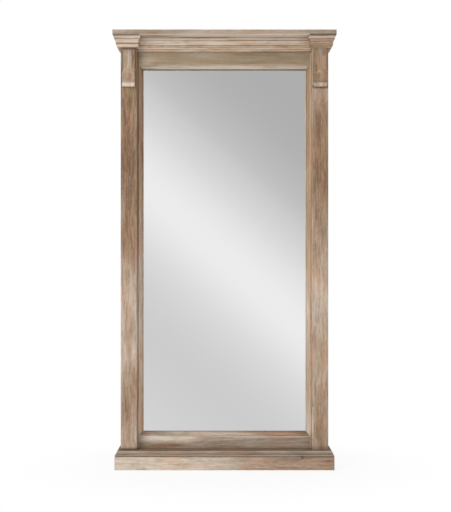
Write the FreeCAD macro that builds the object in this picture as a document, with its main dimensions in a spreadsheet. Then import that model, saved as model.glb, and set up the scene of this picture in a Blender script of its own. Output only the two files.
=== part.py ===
import FreeCAD, Part
import os
from types import SimpleNamespace

import Sketcher

# Driving dimensions in millimetres: name, size and what it measures
DIMENSIONS = [
    ("stile_thickness", 54.0, "stiles and rails, back to face"),
    ("hardware_recess", 10.0, "wall plane to the back of the frame, room for the hangers"),
    ("sight_width", 752.0, "visible glass, side to side"),
    ("sight_height", 1676.0, "visible glass, bottom to top"),
    ("sight_moulding_width", 18.0, "frame opening to the edge of the visible glass"),
    ("sight_shoulder", 1.5, "flat of the sight moulding beside the frame face"),
    ("sight_lip_width", 5.0, "flat lip in front of the glass"),
    ("sight_lip_thickness", 5.0, "glass to the front of the lip"),
    ("sight_hollow", 2.5, "depth of the hollow in the sight moulding"),
    ("glass_thickness", 5.0, "mirror glass"),
    ("glass_spacer", 1.5, "gap between the glass edge and the frame opening"),
    ("spacer_length", 60.0, "length of a glass spacer"),
    ("spacer_offset", 220.0, "bottom spacer to the centre line"),
    ("spacer_margin", 350.0, "side spacer to the end of the frame opening"),
    ("backing_thickness", 5.0, "backing board"),
    ("backing_lap", 12.0, "rabbet width beyond the frame opening"),
    ("backing_clearance", 1.0, "gap between the backing board and its rabbet"),
    ("frieze_height", 57.0, "flat of the top rail below the bead strip"),
    ("stile_flat", 6.0, "flat of a stile between sight moulding and column"),
    ("bottom_flat", 54.0, "flat of the bottom rail above the base"),
    ("bottom_rail_lift", 40.0, "floor to the bottom rail"),
    ("tenon_length", 40.0, "rail tenons"),
    ("tenon_thickness", 18.0, "rail tenons, front to back"),
    ("tenon_shoulder", 15.0, "rail edge to tenon edge"),
    ("tenon_clearance", 0.2, "glue gap round a tenon"),
    ("pilaster_width", 74.0, "column, side to side"),
    ("pilaster_thickness", 42.0, "column, frame face to column face"),
    ("pilaster_edge", 2.5, "rounding of the column's front edges"),
    ("bracket_inset", 8.0, "side of the column to the side of the bracket"),
    ("bracket_thickness", 9.5, "bracket at its flat head and foot"),
    ("bracket_foot_height", 20.0, "bullnose at the bottom of the bracket"),
    ("bracket_foot_bulge", 5.0, "how far the bullnose swells"),
    ("bracket_quirk", 2.5, "step between bullnose and roll"),
    ("bracket_roll_height", 60.0, "roll of the bracket"),
    ("bracket_roll_bulge", 10.0, "how far the roll swells"),
    ("bracket_head_height", 97.0, "hollow head of the bracket up to the cornice"),
    ("bracket_head_hollow", 2.0, "depth of the hollow head"),
    ("crown_band_height", 15.0, "lowest band of the cornice"),
    ("crown_band_projection", 14.0, "foot of the band, out from the face behind it"),
    ("crown_band_lean", 6.0, "how far the band leans out"),
    ("crown_band_bulge", 0.8, "how far the band swells"),
    ("crown_groove_height", 3.0, "groove over the band"),
    ("crown_groove_depth", 2.0, "depth of that groove"),
    ("crown_step", 8.0, "upright over the groove"),
    ("crown_cove_height", 13.0, "cove of the cornice"),
    ("crown_cove_projection", 6.0, "how far the cove leans out"),
    ("crown_cove_hollow", 2.0, "depth of the cove"),
    ("crown_lip", 2.0, "fillet beyond the cove"),
    ("crown_fillet_height", 14.5, "top fillet of the cornice"),
    ("capital_let_in", 10.0, "inner return of a capital into the column head"),
    ("bead_height", 11.0, "bead strip under the cornice"),
    ("bead_projection", 10.0, "bead strip, out from the frieze"),
    ("cap_thickness", 24.5, "cap board"),
    ("cap_overhang", 34.0, "cap board beyond the columns, front and sides"),
    ("plinth_height", 63.0, "plinth boards"),
    ("plinth_thickness", 25.0, "plinth boards"),
    ("base_setback", 1.0, "base moulding behind the plinth face"),
    ("base_fillet_height", 5.5, "lowest flat of the base moulding"),
    ("base_cove_height", 8.5, "cove of the base moulding"),
    ("base_cove_projection", 6.0, "how far the cove falls back"),
    ("base_cove_hollow", 1.8, "depth of the cove"),
    ("base_quirk", 2.5, "step between cove and bead"),
    ("base_bead_height", 11.0, "bead at the top of the base moulding"),
    ("base_bead_lean", 6.5, "how far the bead falls back"),
    ("base_bead_bulge", 3.5, "how far the bead swells"),
    ("sill_thickness", 22.0, "ledge board between the columns"),
    ("block_width", 60.0, "glue block, side to side"),
    ("block_lift", 12.0, "floor to a glue block"),
    ("pilaster_screw_diameter", 5.0, "screw from stile into column"),
    ("pilaster_screw_head", 9.0, "its head across"),
    ("pilaster_screw_bite", 26.0, "how far it enters the column"),
    ("pilaster_screw_margin", 250.0, "end screw to the end of the column"),
    ("backing_screw_diameter", 3.5, "backing board screw"),
    ("backing_screw_head", 7.0, "its head across"),
    ("backing_screw_length", 16.0, "its length"),
    ("backing_screw_margin", 60.0, "end screw to the end of the frame opening"),
    ("cap_dowel_diameter", 10.0, "dowel under the cap"),
    ("cap_dowel_length", 40.0, "its length"),
    ("cap_dowel_depth", 18.0, "how far it enters the cap"),
    ("cap_dowel_inset", 20.0, "dowel to the outer side of the frame"),
    ("bracket_dowel_diameter", 6.0, "dowel behind a bracket"),
    ("bracket_dowel_length", 20.0, "its length"),
    ("bracket_dowel_depth", 5.5, "how far it enters the bracket"),
    ("bracket_dowel_drop", 30.0, "upper dowel to the top of the bracket"),
    ("nail_diameter", 2.5, "plinth nail"),
    ("nail_head", 4.0, "its head across"),
    ("nail_head_height", 1.2, "its head, thickness"),
    ("nail_bite", 30.0, "how far it enters the wood behind the plinth"),
    ("nail_inset", 16.0, "nail to the side of the column"),
    ("hanger_drop", 325.5, "underside of the cap to the hinge line of the hangers"),
    ("strap_width", 16.0, "hanger strap"),
    ("strap_thickness", 1.5, "hanger strap"),
    ("strap_length", 56.0, "hinge line to the foot of the strap"),
    ("strap_upper_screw", 17.0, "hinge line to the upper screw"),
    ("strap_foot_screw", 12.0, "foot of the strap to the lower screw"),
    ("strap_screw_diameter", 4.0, "hanger screw"),
    ("strap_screw_head", 7.0, "its head across"),
    ("strap_screw_length", 22.0, "its length"),
    ("loop_wall", 1.5, "wall of the rolled loop of the strap"),
    ("ring_wire", 4.0, "ring wire diameter"),
    ("ring_inner_width", 24.0, "ring opening, side to side"),
    ("ring_inner_height", 20.0, "ring opening, bar to bow"),
    ("ring_play", 0.08, "gap between the ring bar and its loop"),
    ("ring_standoff", 0.6, "gap between the hanging ring and the strap"),
]

PILASTER_SCREWS = 5
BACKING_SIDE_SCREWS = 6
PLINTH_BLOCKS = 3
QUARTER_BULGE = 1 - 0.5 ** 0.5
ROUND = 1
HOLLOW = -1

Vector = FreeCAD.Vector
Rotation = FreeCAD.Rotation
STRAIGHT = Rotation()
FACING_LEFT = Rotation(Vector(0, 0, 1), -90)
FACING_RIGHT = Rotation(Vector(0, 0, 1), 90)
FORWARD = ((0, -1, 0), Rotation(Vector(1, 0, 0), 90))
BACKWARD = ((0, 1, 0), Rotation(Vector(1, 0, 0), -90))
UPWARD = ((0, 0, 1), STRAIGHT)
RIGHTWARD = ((1, 0, 0), Rotation(Vector(0, 1, 0), 90))
SIDES = (("left", -1), ("right", 1))


class Size:
    """A length: its present value and the sheet expression that gives it."""

    def __init__(self, value, text):
        self.value = value
        self.text = text

    def __add__(self, other):
        other = as_size(other)
        return Size(self.value + other.value, f"({self.text} + {other.text})")

    def __sub__(self, other):
        other = as_size(other)
        return Size(self.value - other.value, f"({self.text} - {other.text})")

    def __mul__(self, other):
        other = as_size(other)
        return Size(self.value * other.value, f"({self.text} * {other.text})")

    def __truediv__(self, other):
        other = as_size(other)
        return Size(self.value / other.value, f"({self.text} / {other.text})")

    def __neg__(self):
        return Size(-self.value, f"(-{self.text})")

    def __rmul__(self, other):
        return as_size(other) * self


def as_size(number):
    """A plain number as a length of its own."""
    if isinstance(number, Size):
        return number
    return Size(float(number), f"({float(number)})")


document = FreeCAD.newDocument("FloorMirror")
sheet = document.addObject("Spreadsheet::Sheet", "Dims")
named_sizes = {}
for row, (name, value, meaning) in enumerate(DIMENSIONS, start=1):
    sheet.set(f"A{row}", meaning)
    sheet.set(f"B{row}", str(value))
    sheet.setAlias(f"B{row}", name)
    named_sizes[name] = Size(value, f"Dims.{name}")
document.recompute()
d = SimpleNamespace(**named_sizes)
sub_parts = []


def bind(thing, setting, length):
    """Tie one setting of an object to the sheet."""
    thing.setExpression(setting, as_size(length).text)


def keep(label, thing):
    """Name a finished sub-part and list it for writing."""
    thing.Label = label
    sub_parts.append(thing)
    return thing


def place(thing, position, rotation):
    thing.Placement = FreeCAD.Placement(Vector(), rotation)
    for axis, offset in zip("xyz", position):
        bind(thing, f"Placement.Base.{axis}", offset)


def span(side, inner, outer):
    """Low and high ends of a stretch on the left or the right of the centre line."""
    if side < 0:
        return -outer, -inner
    return inner, outer


def block(name, xs, ys, zs):
    """A rectangular block between pairs of ends along the three axes."""
    box = document.addObject("Part::Box", name)
    lengths = zip(("Length", "Width", "Height"), (xs, ys, zs))
    for edge, (low, high) in lengths:
        bind(box, edge, high - low)
    place(box, (xs[0], ys[0], zs[0]), STRAIGHT)
    return box


def rod(name, start, direction, radius, length):
    cylinder = document.addObject("Part::Cylinder", name)
    bind(cylinder, "Radius", radius)
    bind(cylinder, "Height", length)
    place(cylinder, start, direction[1])
    return cylinder


def cone(name, start, direction, near_radius, far_radius, length):
    taper = document.addObject("Part::Cone", name)
    bind(taper, "Radius1", near_radius)
    bind(taper, "Radius2", far_radius)
    bind(taper, "Height", length)
    place(taper, start, direction[1])
    return taper


def along(start, direction, distance):
    """The point a distance away from a start, along a direction."""
    return tuple(offset + step * distance for offset, step in zip(start, direction[0]))


def fuse(name, pieces):
    joined = document.addObject("Part::MultiFuse", name)
    joined.Shapes = pieces
    return joined


def group(name, pieces):
    """Separate like solids that share one node."""
    compound = document.addObject("Part::Compound", name)
    compound.Links = pieces
    return compound


def cut(name, blank, tools):
    for tool in tools:
        remainder = document.addObject("Part::Cut", f"{name}_cut")
        remainder.Base = blank
        remainder.Tool = tool
        blank = remainder
    return blank


def screw(name, start, direction, diameter, head, length):
    """A wood screw with a countersunk head flush at its start and a pointed tip."""
    head_height = (head - diameter) / 2
    tip_height = diameter
    shank_height = length - head_height - tip_height
    shank_start = along(start, direction, head_height)
    tip_start = along(shank_start, direction, shank_height)
    return fuse(name, [
        cone(f"{name}_head", start, direction, head / 2, diameter / 2, head_height),
        rod(f"{name}_shank", shank_start, direction, diameter / 2, shank_height),
        cone(f"{name}_tip", tip_start, direction, diameter / 2, 0, tip_height),
    ])


def nail(name, start, direction):
    """A finishing nail with a small flat head."""
    shank_start = along(start, direction, d.nail_head_height)
    shank_height = d.plinth_thickness + d.nail_bite - d.nail_head_height
    return fuse(name, [
        rod(f"{name}_head", start, direction, d.nail_head / 2, d.nail_head_height),
        rod(f"{name}_shank", shank_start, direction, d.nail_diameter / 2, shank_height),
    ])


def sketch_on(body, role):
    sketch = body.newObject("Sketcher::SketchObject", f"{body.Name}_sketch")
    plane = next(feature for feature in body.Origin.OriginFeatures if feature.Role == role)
    sketch.AttachmentSupport = (plane, [""])
    sketch.MapMode = "FlatFace"
    return sketch


def outline(sketch, corners):
    """Close an outline through corners. A corner is (x, y), or (x, y, turn, bulge) where an arc leaves it:
    to the right of the way round if its turn is ROUND, to the left if it is HOLLOW."""
    places = [tuple(as_size(number) for number in corner[:2]) for corner in corners]
    ends = []
    for index, corner in enumerate(corners):
        x, y = places[index]
        next_x, next_y = places[(index + 1) % len(corners)]
        start = Vector(x.value, y.value, 0)
        end = Vector(next_x.value, next_y.value, 0)
        if len(corner) == 2:
            edge = Part.LineSegment(start, end)
        else:
            turn, bulge = corner[2:]
            chord = end - start
            outward = Vector(chord.y, -chord.x, 0).normalize()
            edge = Part.Arc(start, (start + end) / 2 + outward * (turn * bulge.value), end)
        number = sketch.addGeometry(edge)
        runs_on = sketch.getPoint(number, 1).isEqual(start, 1e-6)
        ends.append((1, 2) if runs_on else (2, 1))
        if len(corner) > 2:
            run = next_x - x
            rise = next_y - y
            radius = ((run * run + rise * rise) / 4 + bulge * bulge) / (2 * bulge)
            datum = sketch.addConstraint(Sketcher.Constraint("Radius", number, radius.value))
            bind(sketch, f"Constraints[{datum}]", radius)
    for index, (x, y) in enumerate(places):
        following = (index + 1) % len(corners)
        first, last = ends[index]
        joint = Sketcher.Constraint("Coincident", index, last, following, ends[following][0])
        sketch.addConstraint(joint)
        for kind, offset in (("DistanceX", x), ("DistanceY", y)):
            datum = sketch.addConstraint(Sketcher.Constraint(kind, -1, 1, index, first, offset.value))
            bind(sketch, f"Constraints[{datum}]", offset)


def mitre_corners(kind, at, away, reach):
    """The triangle that a mitre takes off a strip's end, seen from above."""
    size = 2 * reach
    if kind == "outside":
        tip = at + away * size
        return [(at, 0), (tip, -size), (tip, 0)]
    return [(at, 0), (at - away * size, -size), (at, -size)]


def strip(label, corners, reach, length, ends, position, rotation):
    """A strip along X with its back on the XZ plane and its profile to the front, then turned and placed.
    The length is that of its back. An end is square, or a mitre round an outside or an inside corner."""
    body = document.addObject("PartDesign::Body", label)
    start, end = ends
    first = -reach if start == "outside" else as_size(0)
    last = length + reach if end == "outside" else length
    profile = sketch_on(body, "YZ_Plane")
    bind(profile, "AttachmentOffset.Base.z", first)
    facing_front = []
    for out, up, *arc in corners:
        if arc:
            arc = (-arc[0], arc[1])
        facing_front.append((-out, up, *arc))
    outline(profile, facing_front)
    run = body.newObject("PartDesign::Pad", f"{label}_run")
    run.Profile = profile
    bind(run, "Length", last - first)
    document.recompute()
    volume = run.Shape.Volume
    for kind, at, away in ((start, as_size(0), -1), (end, length, 1)):
        if kind == "square":
            continue
        triangle = sketch_on(body, "XY_Plane")
        outline(triangle, mitre_corners(kind, at, away, reach))
        mitre = body.newObject("PartDesign::Pocket", f"{label}_mitre")
        mitre.Profile = triangle
        mitre.Type = "ThroughAll"
        mitre.SideType = "Symmetric"
        document.recompute()
        if mitre.Shape.Volume >= volume:
            raise RuntimeError(f"a mitre of {label} took nothing off")
        volume = mitre.Shape.Volume
    place(body, position, rotation)
    return body


# Planes and lines that the pieces share: the floor is at zero and the wall stands behind the object
depth = d.hardware_recess + d.stile_thickness + d.pilaster_thickness + d.cap_overhang
wall = depth / 2
frame_back = wall - d.hardware_recess
frame_face = frame_back - d.stile_thickness
frame_middle = (frame_back + frame_face) / 2
pilaster_face = frame_face - d.pilaster_thickness
floor = as_size(0)
half_opening = d.sight_width / 2 + d.sight_moulding_width
pilaster_inner = half_opening + d.stile_flat
pilaster_middle = pilaster_inner + d.pilaster_width / 2
half_frame = pilaster_inner + d.pilaster_width
stile_middle = (half_frame + half_opening) / 2
base_reach = d.plinth_thickness - d.base_setback
base_cove_top = d.base_fillet_height + d.base_cove_height
base_cove_back = base_reach - d.base_cove_projection
base_bead_front = base_cove_back - d.base_quirk
base_height = base_cove_top + d.base_bead_height
base_top = d.plinth_height + base_height
sill_bottom = base_top - d.sill_thickness
opening_bottom = base_top + d.bottom_flat
opening_height = d.sight_height + 2 * d.sight_moulding_width
opening_top = opening_bottom + opening_height
crown_groove_top = d.crown_band_height + d.crown_groove_height
crown_cove_start = crown_groove_top + d.crown_step
crown_fillet_start = crown_cove_start + d.crown_cove_height
crown_height = crown_fillet_start + d.crown_fillet_height
crown_bottom = opening_top + d.frieze_height + d.bead_height
cap_bottom = crown_bottom + crown_height
crown_cove_foot = d.crown_band_projection + d.crown_band_lean
crown_groove_face = crown_cove_foot - d.crown_groove_depth
crown_cove_head = crown_cove_foot + d.crown_cove_projection
crown_reach = crown_cove_head + d.crown_lip
capital_inner = pilaster_inner + d.capital_let_in
bracket_roll_start = d.bracket_foot_height
bracket_head_start = bracket_roll_start + d.bracket_roll_height
bracket_height = bracket_head_start + d.bracket_head_height
bracket_bottom = crown_bottom - bracket_height
glass_face = frame_back - d.backing_thickness - d.glass_thickness
glass_back = frame_back - d.backing_thickness
hanger_height = cap_bottom - d.hanger_drop
ring_axis = frame_back + d.strap_thickness + d.ring_standoff + d.ring_wire / 2
return_length = wall - pilaster_face

# Fasteners, which the boards are then cut by
pilaster_screws = []
pilaster_screw_step = (cap_bottom - 2 * d.pilaster_screw_margin) / (PILASTER_SCREWS - 1)
for _, side in SIDES:
    for index in range(PILASTER_SCREWS):
        head_at = (side * pilaster_middle, frame_back, d.pilaster_screw_margin + index * pilaster_screw_step)
        pilaster_screws.append(screw(
            "pilaster_screw", head_at, FORWARD,
            d.pilaster_screw_diameter, d.pilaster_screw_head, d.stile_thickness + d.pilaster_screw_bite))
pilaster_screw_group = keep("pilaster_screws", group("pilaster_screw_group", pilaster_screws))

backing_screw_places = []
backing_screw_step = (opening_height - 2 * d.backing_screw_margin) / (BACKING_SIDE_SCREWS - 1)
backing_line = half_opening + d.backing_lap / 2
backing_end_spacing = half_opening - d.backing_screw_margin
for _, side in SIDES:
    for index in range(BACKING_SIDE_SCREWS):
        height = opening_bottom + d.backing_screw_margin + index * backing_screw_step
        backing_screw_places.append((side * backing_line, height))
for height in (opening_bottom - d.backing_lap / 2, opening_top + d.backing_lap / 2):
    for column in (-1, 0, 1):
        backing_screw_places.append((column * backing_end_spacing, height))
backing_screws = []
for x, height in backing_screw_places:
    backing_screws.append(screw(
        "backing_screw", (x, frame_back, height), FORWARD,
        d.backing_screw_diameter, d.backing_screw_head, d.backing_screw_length))
backing_screw_group = keep("backing_screws", group("backing_screw_group", backing_screws))

hanger_screws = []
for _, side in SIDES:
    for drop in (d.strap_upper_screw, d.strap_length - d.strap_foot_screw):
        head_at = (side * stile_middle, frame_back + d.strap_thickness, hanger_height - drop)
        hanger_screws.append(screw(
            "hanger_screw", head_at, FORWARD,
            d.strap_screw_diameter, d.strap_screw_head, d.strap_screw_length))
hanger_screw_group = keep("hanger_screws", group("hanger_screw_group", hanger_screws))

cap_dowel_x = half_frame - d.cap_dowel_inset
pilaster_depth_middle = (frame_face + pilaster_face) / 2
cap_dowel_places = [(floor, frame_middle)]
for _, side in SIDES:
    cap_dowel_places.append((side * cap_dowel_x, frame_middle))
    cap_dowel_places.append((side * cap_dowel_x, pilaster_depth_middle))
cap_dowel_start = cap_bottom + d.cap_dowel_depth - d.cap_dowel_length
cap_dowels = []
for x, y in cap_dowel_places:
    cap_dowels.append(rod(
        "cap_dowel", (x, y, cap_dowel_start), UPWARD, d.cap_dowel_diameter / 2, d.cap_dowel_length))
cap_dowel_group = keep("cap_dowels", group("cap_dowel_group", cap_dowels))

bracket_dowels = []
bracket_dowel_back = pilaster_face - d.bracket_dowel_depth + d.bracket_dowel_length
roll_middle = bracket_bottom + bracket_roll_start + d.bracket_roll_height / 2
for _, side in SIDES:
    for height in (roll_middle, crown_bottom - d.bracket_dowel_drop):
        bracket_dowels.append(rod(
            "bracket_dowel", (side * pilaster_middle, bracket_dowel_back, height), FORWARD,
            d.bracket_dowel_diameter / 2, d.bracket_dowel_length))
bracket_dowel_group = keep("bracket_dowels", group("bracket_dowel_group", bracket_dowels))

nail_places = []
for _, side in SIDES:
    nail_places.append(side * (half_frame - d.nail_inset))
    nail_places.append(side * (pilaster_inner + d.nail_inset))
block_step = 2 * pilaster_inner / (PLINTH_BLOCKS + 1)
block_places = [(index + 1) * block_step - pilaster_inner for index in range(PLINTH_BLOCKS)]
plinth_face = pilaster_face - d.plinth_thickness
nails = []
for x in nail_places + block_places:
    nails.append(nail("plinth_nail", (x, plinth_face, d.plinth_height / 2), BACKWARD))
nail_group = keep("plinth_nails", group("plinth_nail_group", nails))

# Stiles and rails: mortise and tenon, with a rabbet behind for the backing board
half_tenon = d.tenon_thickness / 2
tenon_depths = (frame_middle - half_tenon, frame_middle + half_tenon)
mortise_depths = (tenon_depths[0] - d.tenon_clearance, tenon_depths[1] + d.tenon_clearance)
top_tenon = (opening_top + d.tenon_shoulder, cap_bottom - d.tenon_shoulder)
bottom_tenon = (d.bottom_rail_lift + d.tenon_shoulder, opening_bottom - d.tenon_shoulder)
tenon_reach = half_opening + d.tenon_length
rabbet_bottom = opening_bottom - d.backing_lap
rabbet_top = opening_top + d.backing_lap
half_rabbet = half_opening + d.backing_lap
frame_depths = (frame_face, frame_back)
backing_depths = (glass_back, frame_back)
rabbet = block("backing_rabbet", (-half_rabbet, half_rabbet), backing_depths, (rabbet_bottom, rabbet_top))

for side_name, side in SIDES:
    blank = block(
        f"{side_name}_stile_blank", span(side, half_opening, half_frame), frame_depths, (floor, cap_bottom))
    mortises = []
    for tenon_bottom, tenon_top in (top_tenon, bottom_tenon):
        heights = (tenon_bottom - d.tenon_clearance, tenon_top + d.tenon_clearance)
        widths = span(side, half_opening, tenon_reach + d.tenon_clearance)
        mortises.append(block(f"{side_name}_mortise", widths, mortise_depths, heights))
    tools = [
        rabbet, *mortises, pilaster_screw_group, backing_screw_group, hanger_screw_group, cap_dowel_group]
    keep(f"{side_name}_stile", cut(f"{side_name}_stile", blank, tools))

rails = (
    ("top_rail", (opening_top, cap_bottom), top_tenon),
    ("bottom_rail", (d.bottom_rail_lift, opening_bottom), bottom_tenon),
)
for label, heights, tenon in rails:
    board = block(f"{label}_board", (-half_opening, half_opening), frame_depths, heights)
    tongue = block(f"{label}_tenons", (-tenon_reach, tenon_reach), tenon_depths, tenon)
    blank = fuse(f"{label}_blank", [board, tongue])
    keep(label, cut(label, blank, [rabbet, backing_screw_group, cap_dowel_group]))

# Glass, its spacers and the backing board
half_glass = half_opening - d.glass_spacer
glass_depths = (glass_face, glass_back)
glass_heights = (opening_bottom + d.glass_spacer, opening_top - d.glass_spacer)
keep("mirror_glass", block("mirror_glass_sheet", (-half_glass, half_glass), glass_depths, glass_heights))

spacers = []
half_spacer = d.spacer_length / 2
for _, side in SIDES:
    spacers.append(block(
        "bottom_spacer", (side * d.spacer_offset - half_spacer, side * d.spacer_offset + half_spacer),
        glass_depths, (opening_bottom, glass_heights[0])))
    for middle in (opening_bottom + d.spacer_margin, opening_top - d.spacer_margin):
        spacers.append(block(
            "side_spacer", span(side, half_glass, half_opening),
            glass_depths, (middle - half_spacer, middle + half_spacer)))
keep("glass_spacers", group("glass_spacer_group", spacers))

half_backing = half_rabbet - d.backing_clearance
backing_heights = (rabbet_bottom + d.backing_clearance, rabbet_top - d.backing_clearance)
backing_sheet = block("backing_sheet", (-half_backing, half_backing), backing_depths, backing_heights)
keep("backing_board", cut("backing_board", backing_sheet, [backing_screw_group]))

# Sight moulding: out is towards the glass, up is from the frame face to the back
sight_depth = frame_back - frame_face - d.backing_thickness - d.glass_thickness
sight_lip_start = d.sight_moulding_width - d.sight_lip_width
sight_lip_face = sight_depth - d.sight_lip_thickness
sight_profile = [
    (floor, floor),
    (d.sight_shoulder, floor, HOLLOW, d.sight_hollow),
    (sight_lip_start, sight_lip_face),
    (d.sight_moulding_width, sight_lip_face),
    (d.sight_moulding_width, sight_depth),
    (floor, sight_depth),
]
lying_down = Rotation(Vector(1, 0, 0), -90)
sight_runs = (
    ("sight_moulding_bottom", 0, -half_opening, opening_bottom, 2 * half_opening),
    ("sight_moulding_top", 180, half_opening, opening_top, 2 * half_opening),
    ("sight_moulding_left", 90, -half_opening, opening_top, opening_height),
    ("sight_moulding_right", -90, half_opening, opening_bottom, opening_height),
)
for label, angle, x, z, length in sight_runs:
    turned = Rotation(Vector(0, 1, 0), angle) * lying_down
    keep(label, strip(
        label, sight_profile, d.sight_moulding_width, length,
        ("inside", "inside"), (x, frame_face, z), turned))

# Columns and the brackets on their heads
pilaster_arc = QUARTER_BULGE * d.pilaster_edge
bracket_width = d.pilaster_width - 2 * d.bracket_inset
bracket_profile = [
    (floor, floor),
    (d.bracket_thickness, floor, ROUND, d.bracket_foot_bulge),
    (d.bracket_thickness, bracket_roll_start),
    (d.bracket_thickness - d.bracket_quirk, bracket_roll_start, ROUND, d.bracket_roll_bulge),
    (d.bracket_thickness, bracket_head_start, HOLLOW, d.bracket_head_hollow),
    (d.bracket_thickness, bracket_height),
    (floor, bracket_height),
]
for side_name, side in SIDES:
    column = document.addObject("PartDesign::Body", f"{side_name}_column")
    section = sketch_on(column, "XY_Plane")
    outline(section, [
        (d.pilaster_width, d.pilaster_thickness),
        (floor, d.pilaster_thickness),
        (floor, d.pilaster_edge, ROUND, pilaster_arc),
        (d.pilaster_edge, floor),
        (d.pilaster_width - d.pilaster_edge, floor, ROUND, pilaster_arc),
        (d.pilaster_width, d.pilaster_edge),
    ])
    shaft = column.newObject("PartDesign::Pad", f"{side_name}_shaft")
    shaft.Profile = section
    bind(shaft, "Length", cap_bottom)
    column_low, column_high = span(side, pilaster_inner, half_frame)
    place(column, (column_low, pilaster_face, floor), STRAIGHT)
    capital_notch = block(
        f"{side_name}_capital_notch", span(side, pilaster_inner, capital_inner), (pilaster_face, frame_face),
        (crown_bottom, cap_bottom))
    tools = [capital_notch, pilaster_screw_group, bracket_dowel_group, cap_dowel_group, nail_group]
    keep(f"{side_name}_pilaster", cut(f"{side_name}_pilaster", column, tools))

    bracket_start = (side * pilaster_middle - bracket_width / 2, pilaster_face, bracket_bottom)
    carved = strip(
        f"{side_name}_bracket_blank", bracket_profile, d.bracket_thickness, bracket_width,
        ("square", "square"), bracket_start, STRAIGHT)
    keep(f"{side_name}_bracket", cut(f"{side_name}_bracket", carved, [bracket_dowel_group]))

# Cornice: one moulding, broken forward round both column heads
crown_profile = [
    (floor, floor),
    (d.crown_band_projection, floor, ROUND, d.crown_band_bulge),
    (crown_cove_foot, d.crown_band_height),
    (crown_groove_face, d.crown_band_height),
    (crown_groove_face, crown_groove_top),
    (crown_cove_foot, crown_groove_top),
    (crown_cove_foot, crown_cove_start, HOLLOW, d.crown_cove_hollow),
    (crown_cove_head, crown_fillet_start),
    (crown_reach, crown_fillet_start),
    (crown_reach, crown_height),
    (floor, crown_height),
]
inner_return = d.pilaster_thickness
front_width = half_frame - capital_inner
crown_runs = (
    ("cornice", 2 * capital_inner, ("inside", "inside"), -capital_inner, frame_face, STRAIGHT),
    ("left_capital_front", front_width, ("outside", "outside"), -half_frame, pilaster_face, STRAIGHT),
    ("left_capital_outer", return_length, ("square", "outside"), -half_frame, wall, FACING_LEFT),
    ("left_capital_inner", inner_return, ("outside", "inside"), -capital_inner, pilaster_face, FACING_RIGHT),
    ("right_capital_front", front_width, ("outside", "outside"), capital_inner, pilaster_face, STRAIGHT),
    ("right_capital_outer", return_length, ("outside", "square"), half_frame, pilaster_face, FACING_RIGHT),
    ("right_capital_inner", inner_return, ("inside", "outside"), capital_inner, frame_face, FACING_LEFT),
)
for label, length, ends, x, y, rotation in crown_runs:
    keep(label, strip(label, crown_profile, crown_reach, length, ends, (x, y, crown_bottom), rotation))

bead_round = d.bead_height / 2
bead_profile = [
    (floor, floor),
    (d.bead_projection - bead_round, floor, ROUND, QUARTER_BULGE * bead_round),
    (d.bead_projection, bead_round, ROUND, QUARTER_BULGE * bead_round),
    (d.bead_projection - bead_round, d.bead_height),
    (floor, d.bead_height),
]
bead_start = (-pilaster_inner, frame_face, crown_bottom - d.bead_height)
keep("frieze_bead", strip(
    "frieze_bead", bead_profile, d.bead_projection, 2 * pilaster_inner,
    ("square", "square"), bead_start, STRAIGHT))

cap_half_width = half_frame + d.cap_overhang
cap_board = block(
    "cap_board", (-cap_half_width, cap_half_width), (pilaster_face - d.cap_overhang, wall),
    (cap_bottom, cap_bottom + d.cap_thickness))
keep("top_cap", cut("top_cap", cap_board, [cap_dowel_group]))

# Base: plinth boards and the moulding on them, mitred round the two front corners
plinth_profile = [
    (floor, floor),
    (d.plinth_thickness, floor),
    (d.plinth_thickness, d.plinth_height),
    (floor, d.plinth_height),
]
base_profile = [
    (floor, floor),
    (base_reach, floor),
    (base_reach, d.base_fillet_height, HOLLOW, d.base_cove_hollow),
    (base_cove_back, base_cove_top),
    (base_bead_front, base_cove_top, ROUND, d.base_bead_bulge),
    (base_bead_front - d.base_bead_lean, base_height),
    (floor, base_height),
]
base_runs = (
    ("front", 2 * half_frame, ("outside", "outside"), -half_frame, pilaster_face, STRAIGHT),
    ("left", return_length, ("square", "outside"), -half_frame, wall, FACING_LEFT),
    ("right", return_length, ("outside", "square"), half_frame, pilaster_face, FACING_RIGHT),
)
for run_name, length, ends, x, y, rotation in base_runs:
    board = strip(
        f"plinth_{run_name}_board", plinth_profile, d.plinth_thickness, length, ends, (x, y, floor), rotation)
    tools = [nail_group] if run_name == "front" else []
    keep(f"plinth_{run_name}", cut(f"plinth_{run_name}", board, tools))
    label = f"base_moulding_{run_name}"
    keep(label, strip(label, base_profile, base_reach, length, ends, (x, y, d.plinth_height), rotation))

trough_depths = (pilaster_face, frame_face)
between_columns = (-pilaster_inner, pilaster_inner)
keep("base_sill", block("base_sill_board", between_columns, trough_depths, (sill_bottom, base_top)))
half_block = d.block_width / 2
blocks = []
for x in block_places:
    blocks.append(block(
        "plinth_block", (x - half_block, x + half_block), trough_depths, (d.block_lift, sill_bottom)))
block_group = group("plinth_block_group", blocks)
keep("plinth_blocks", cut("plinth_blocks", block_group, [nail_group]))

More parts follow.
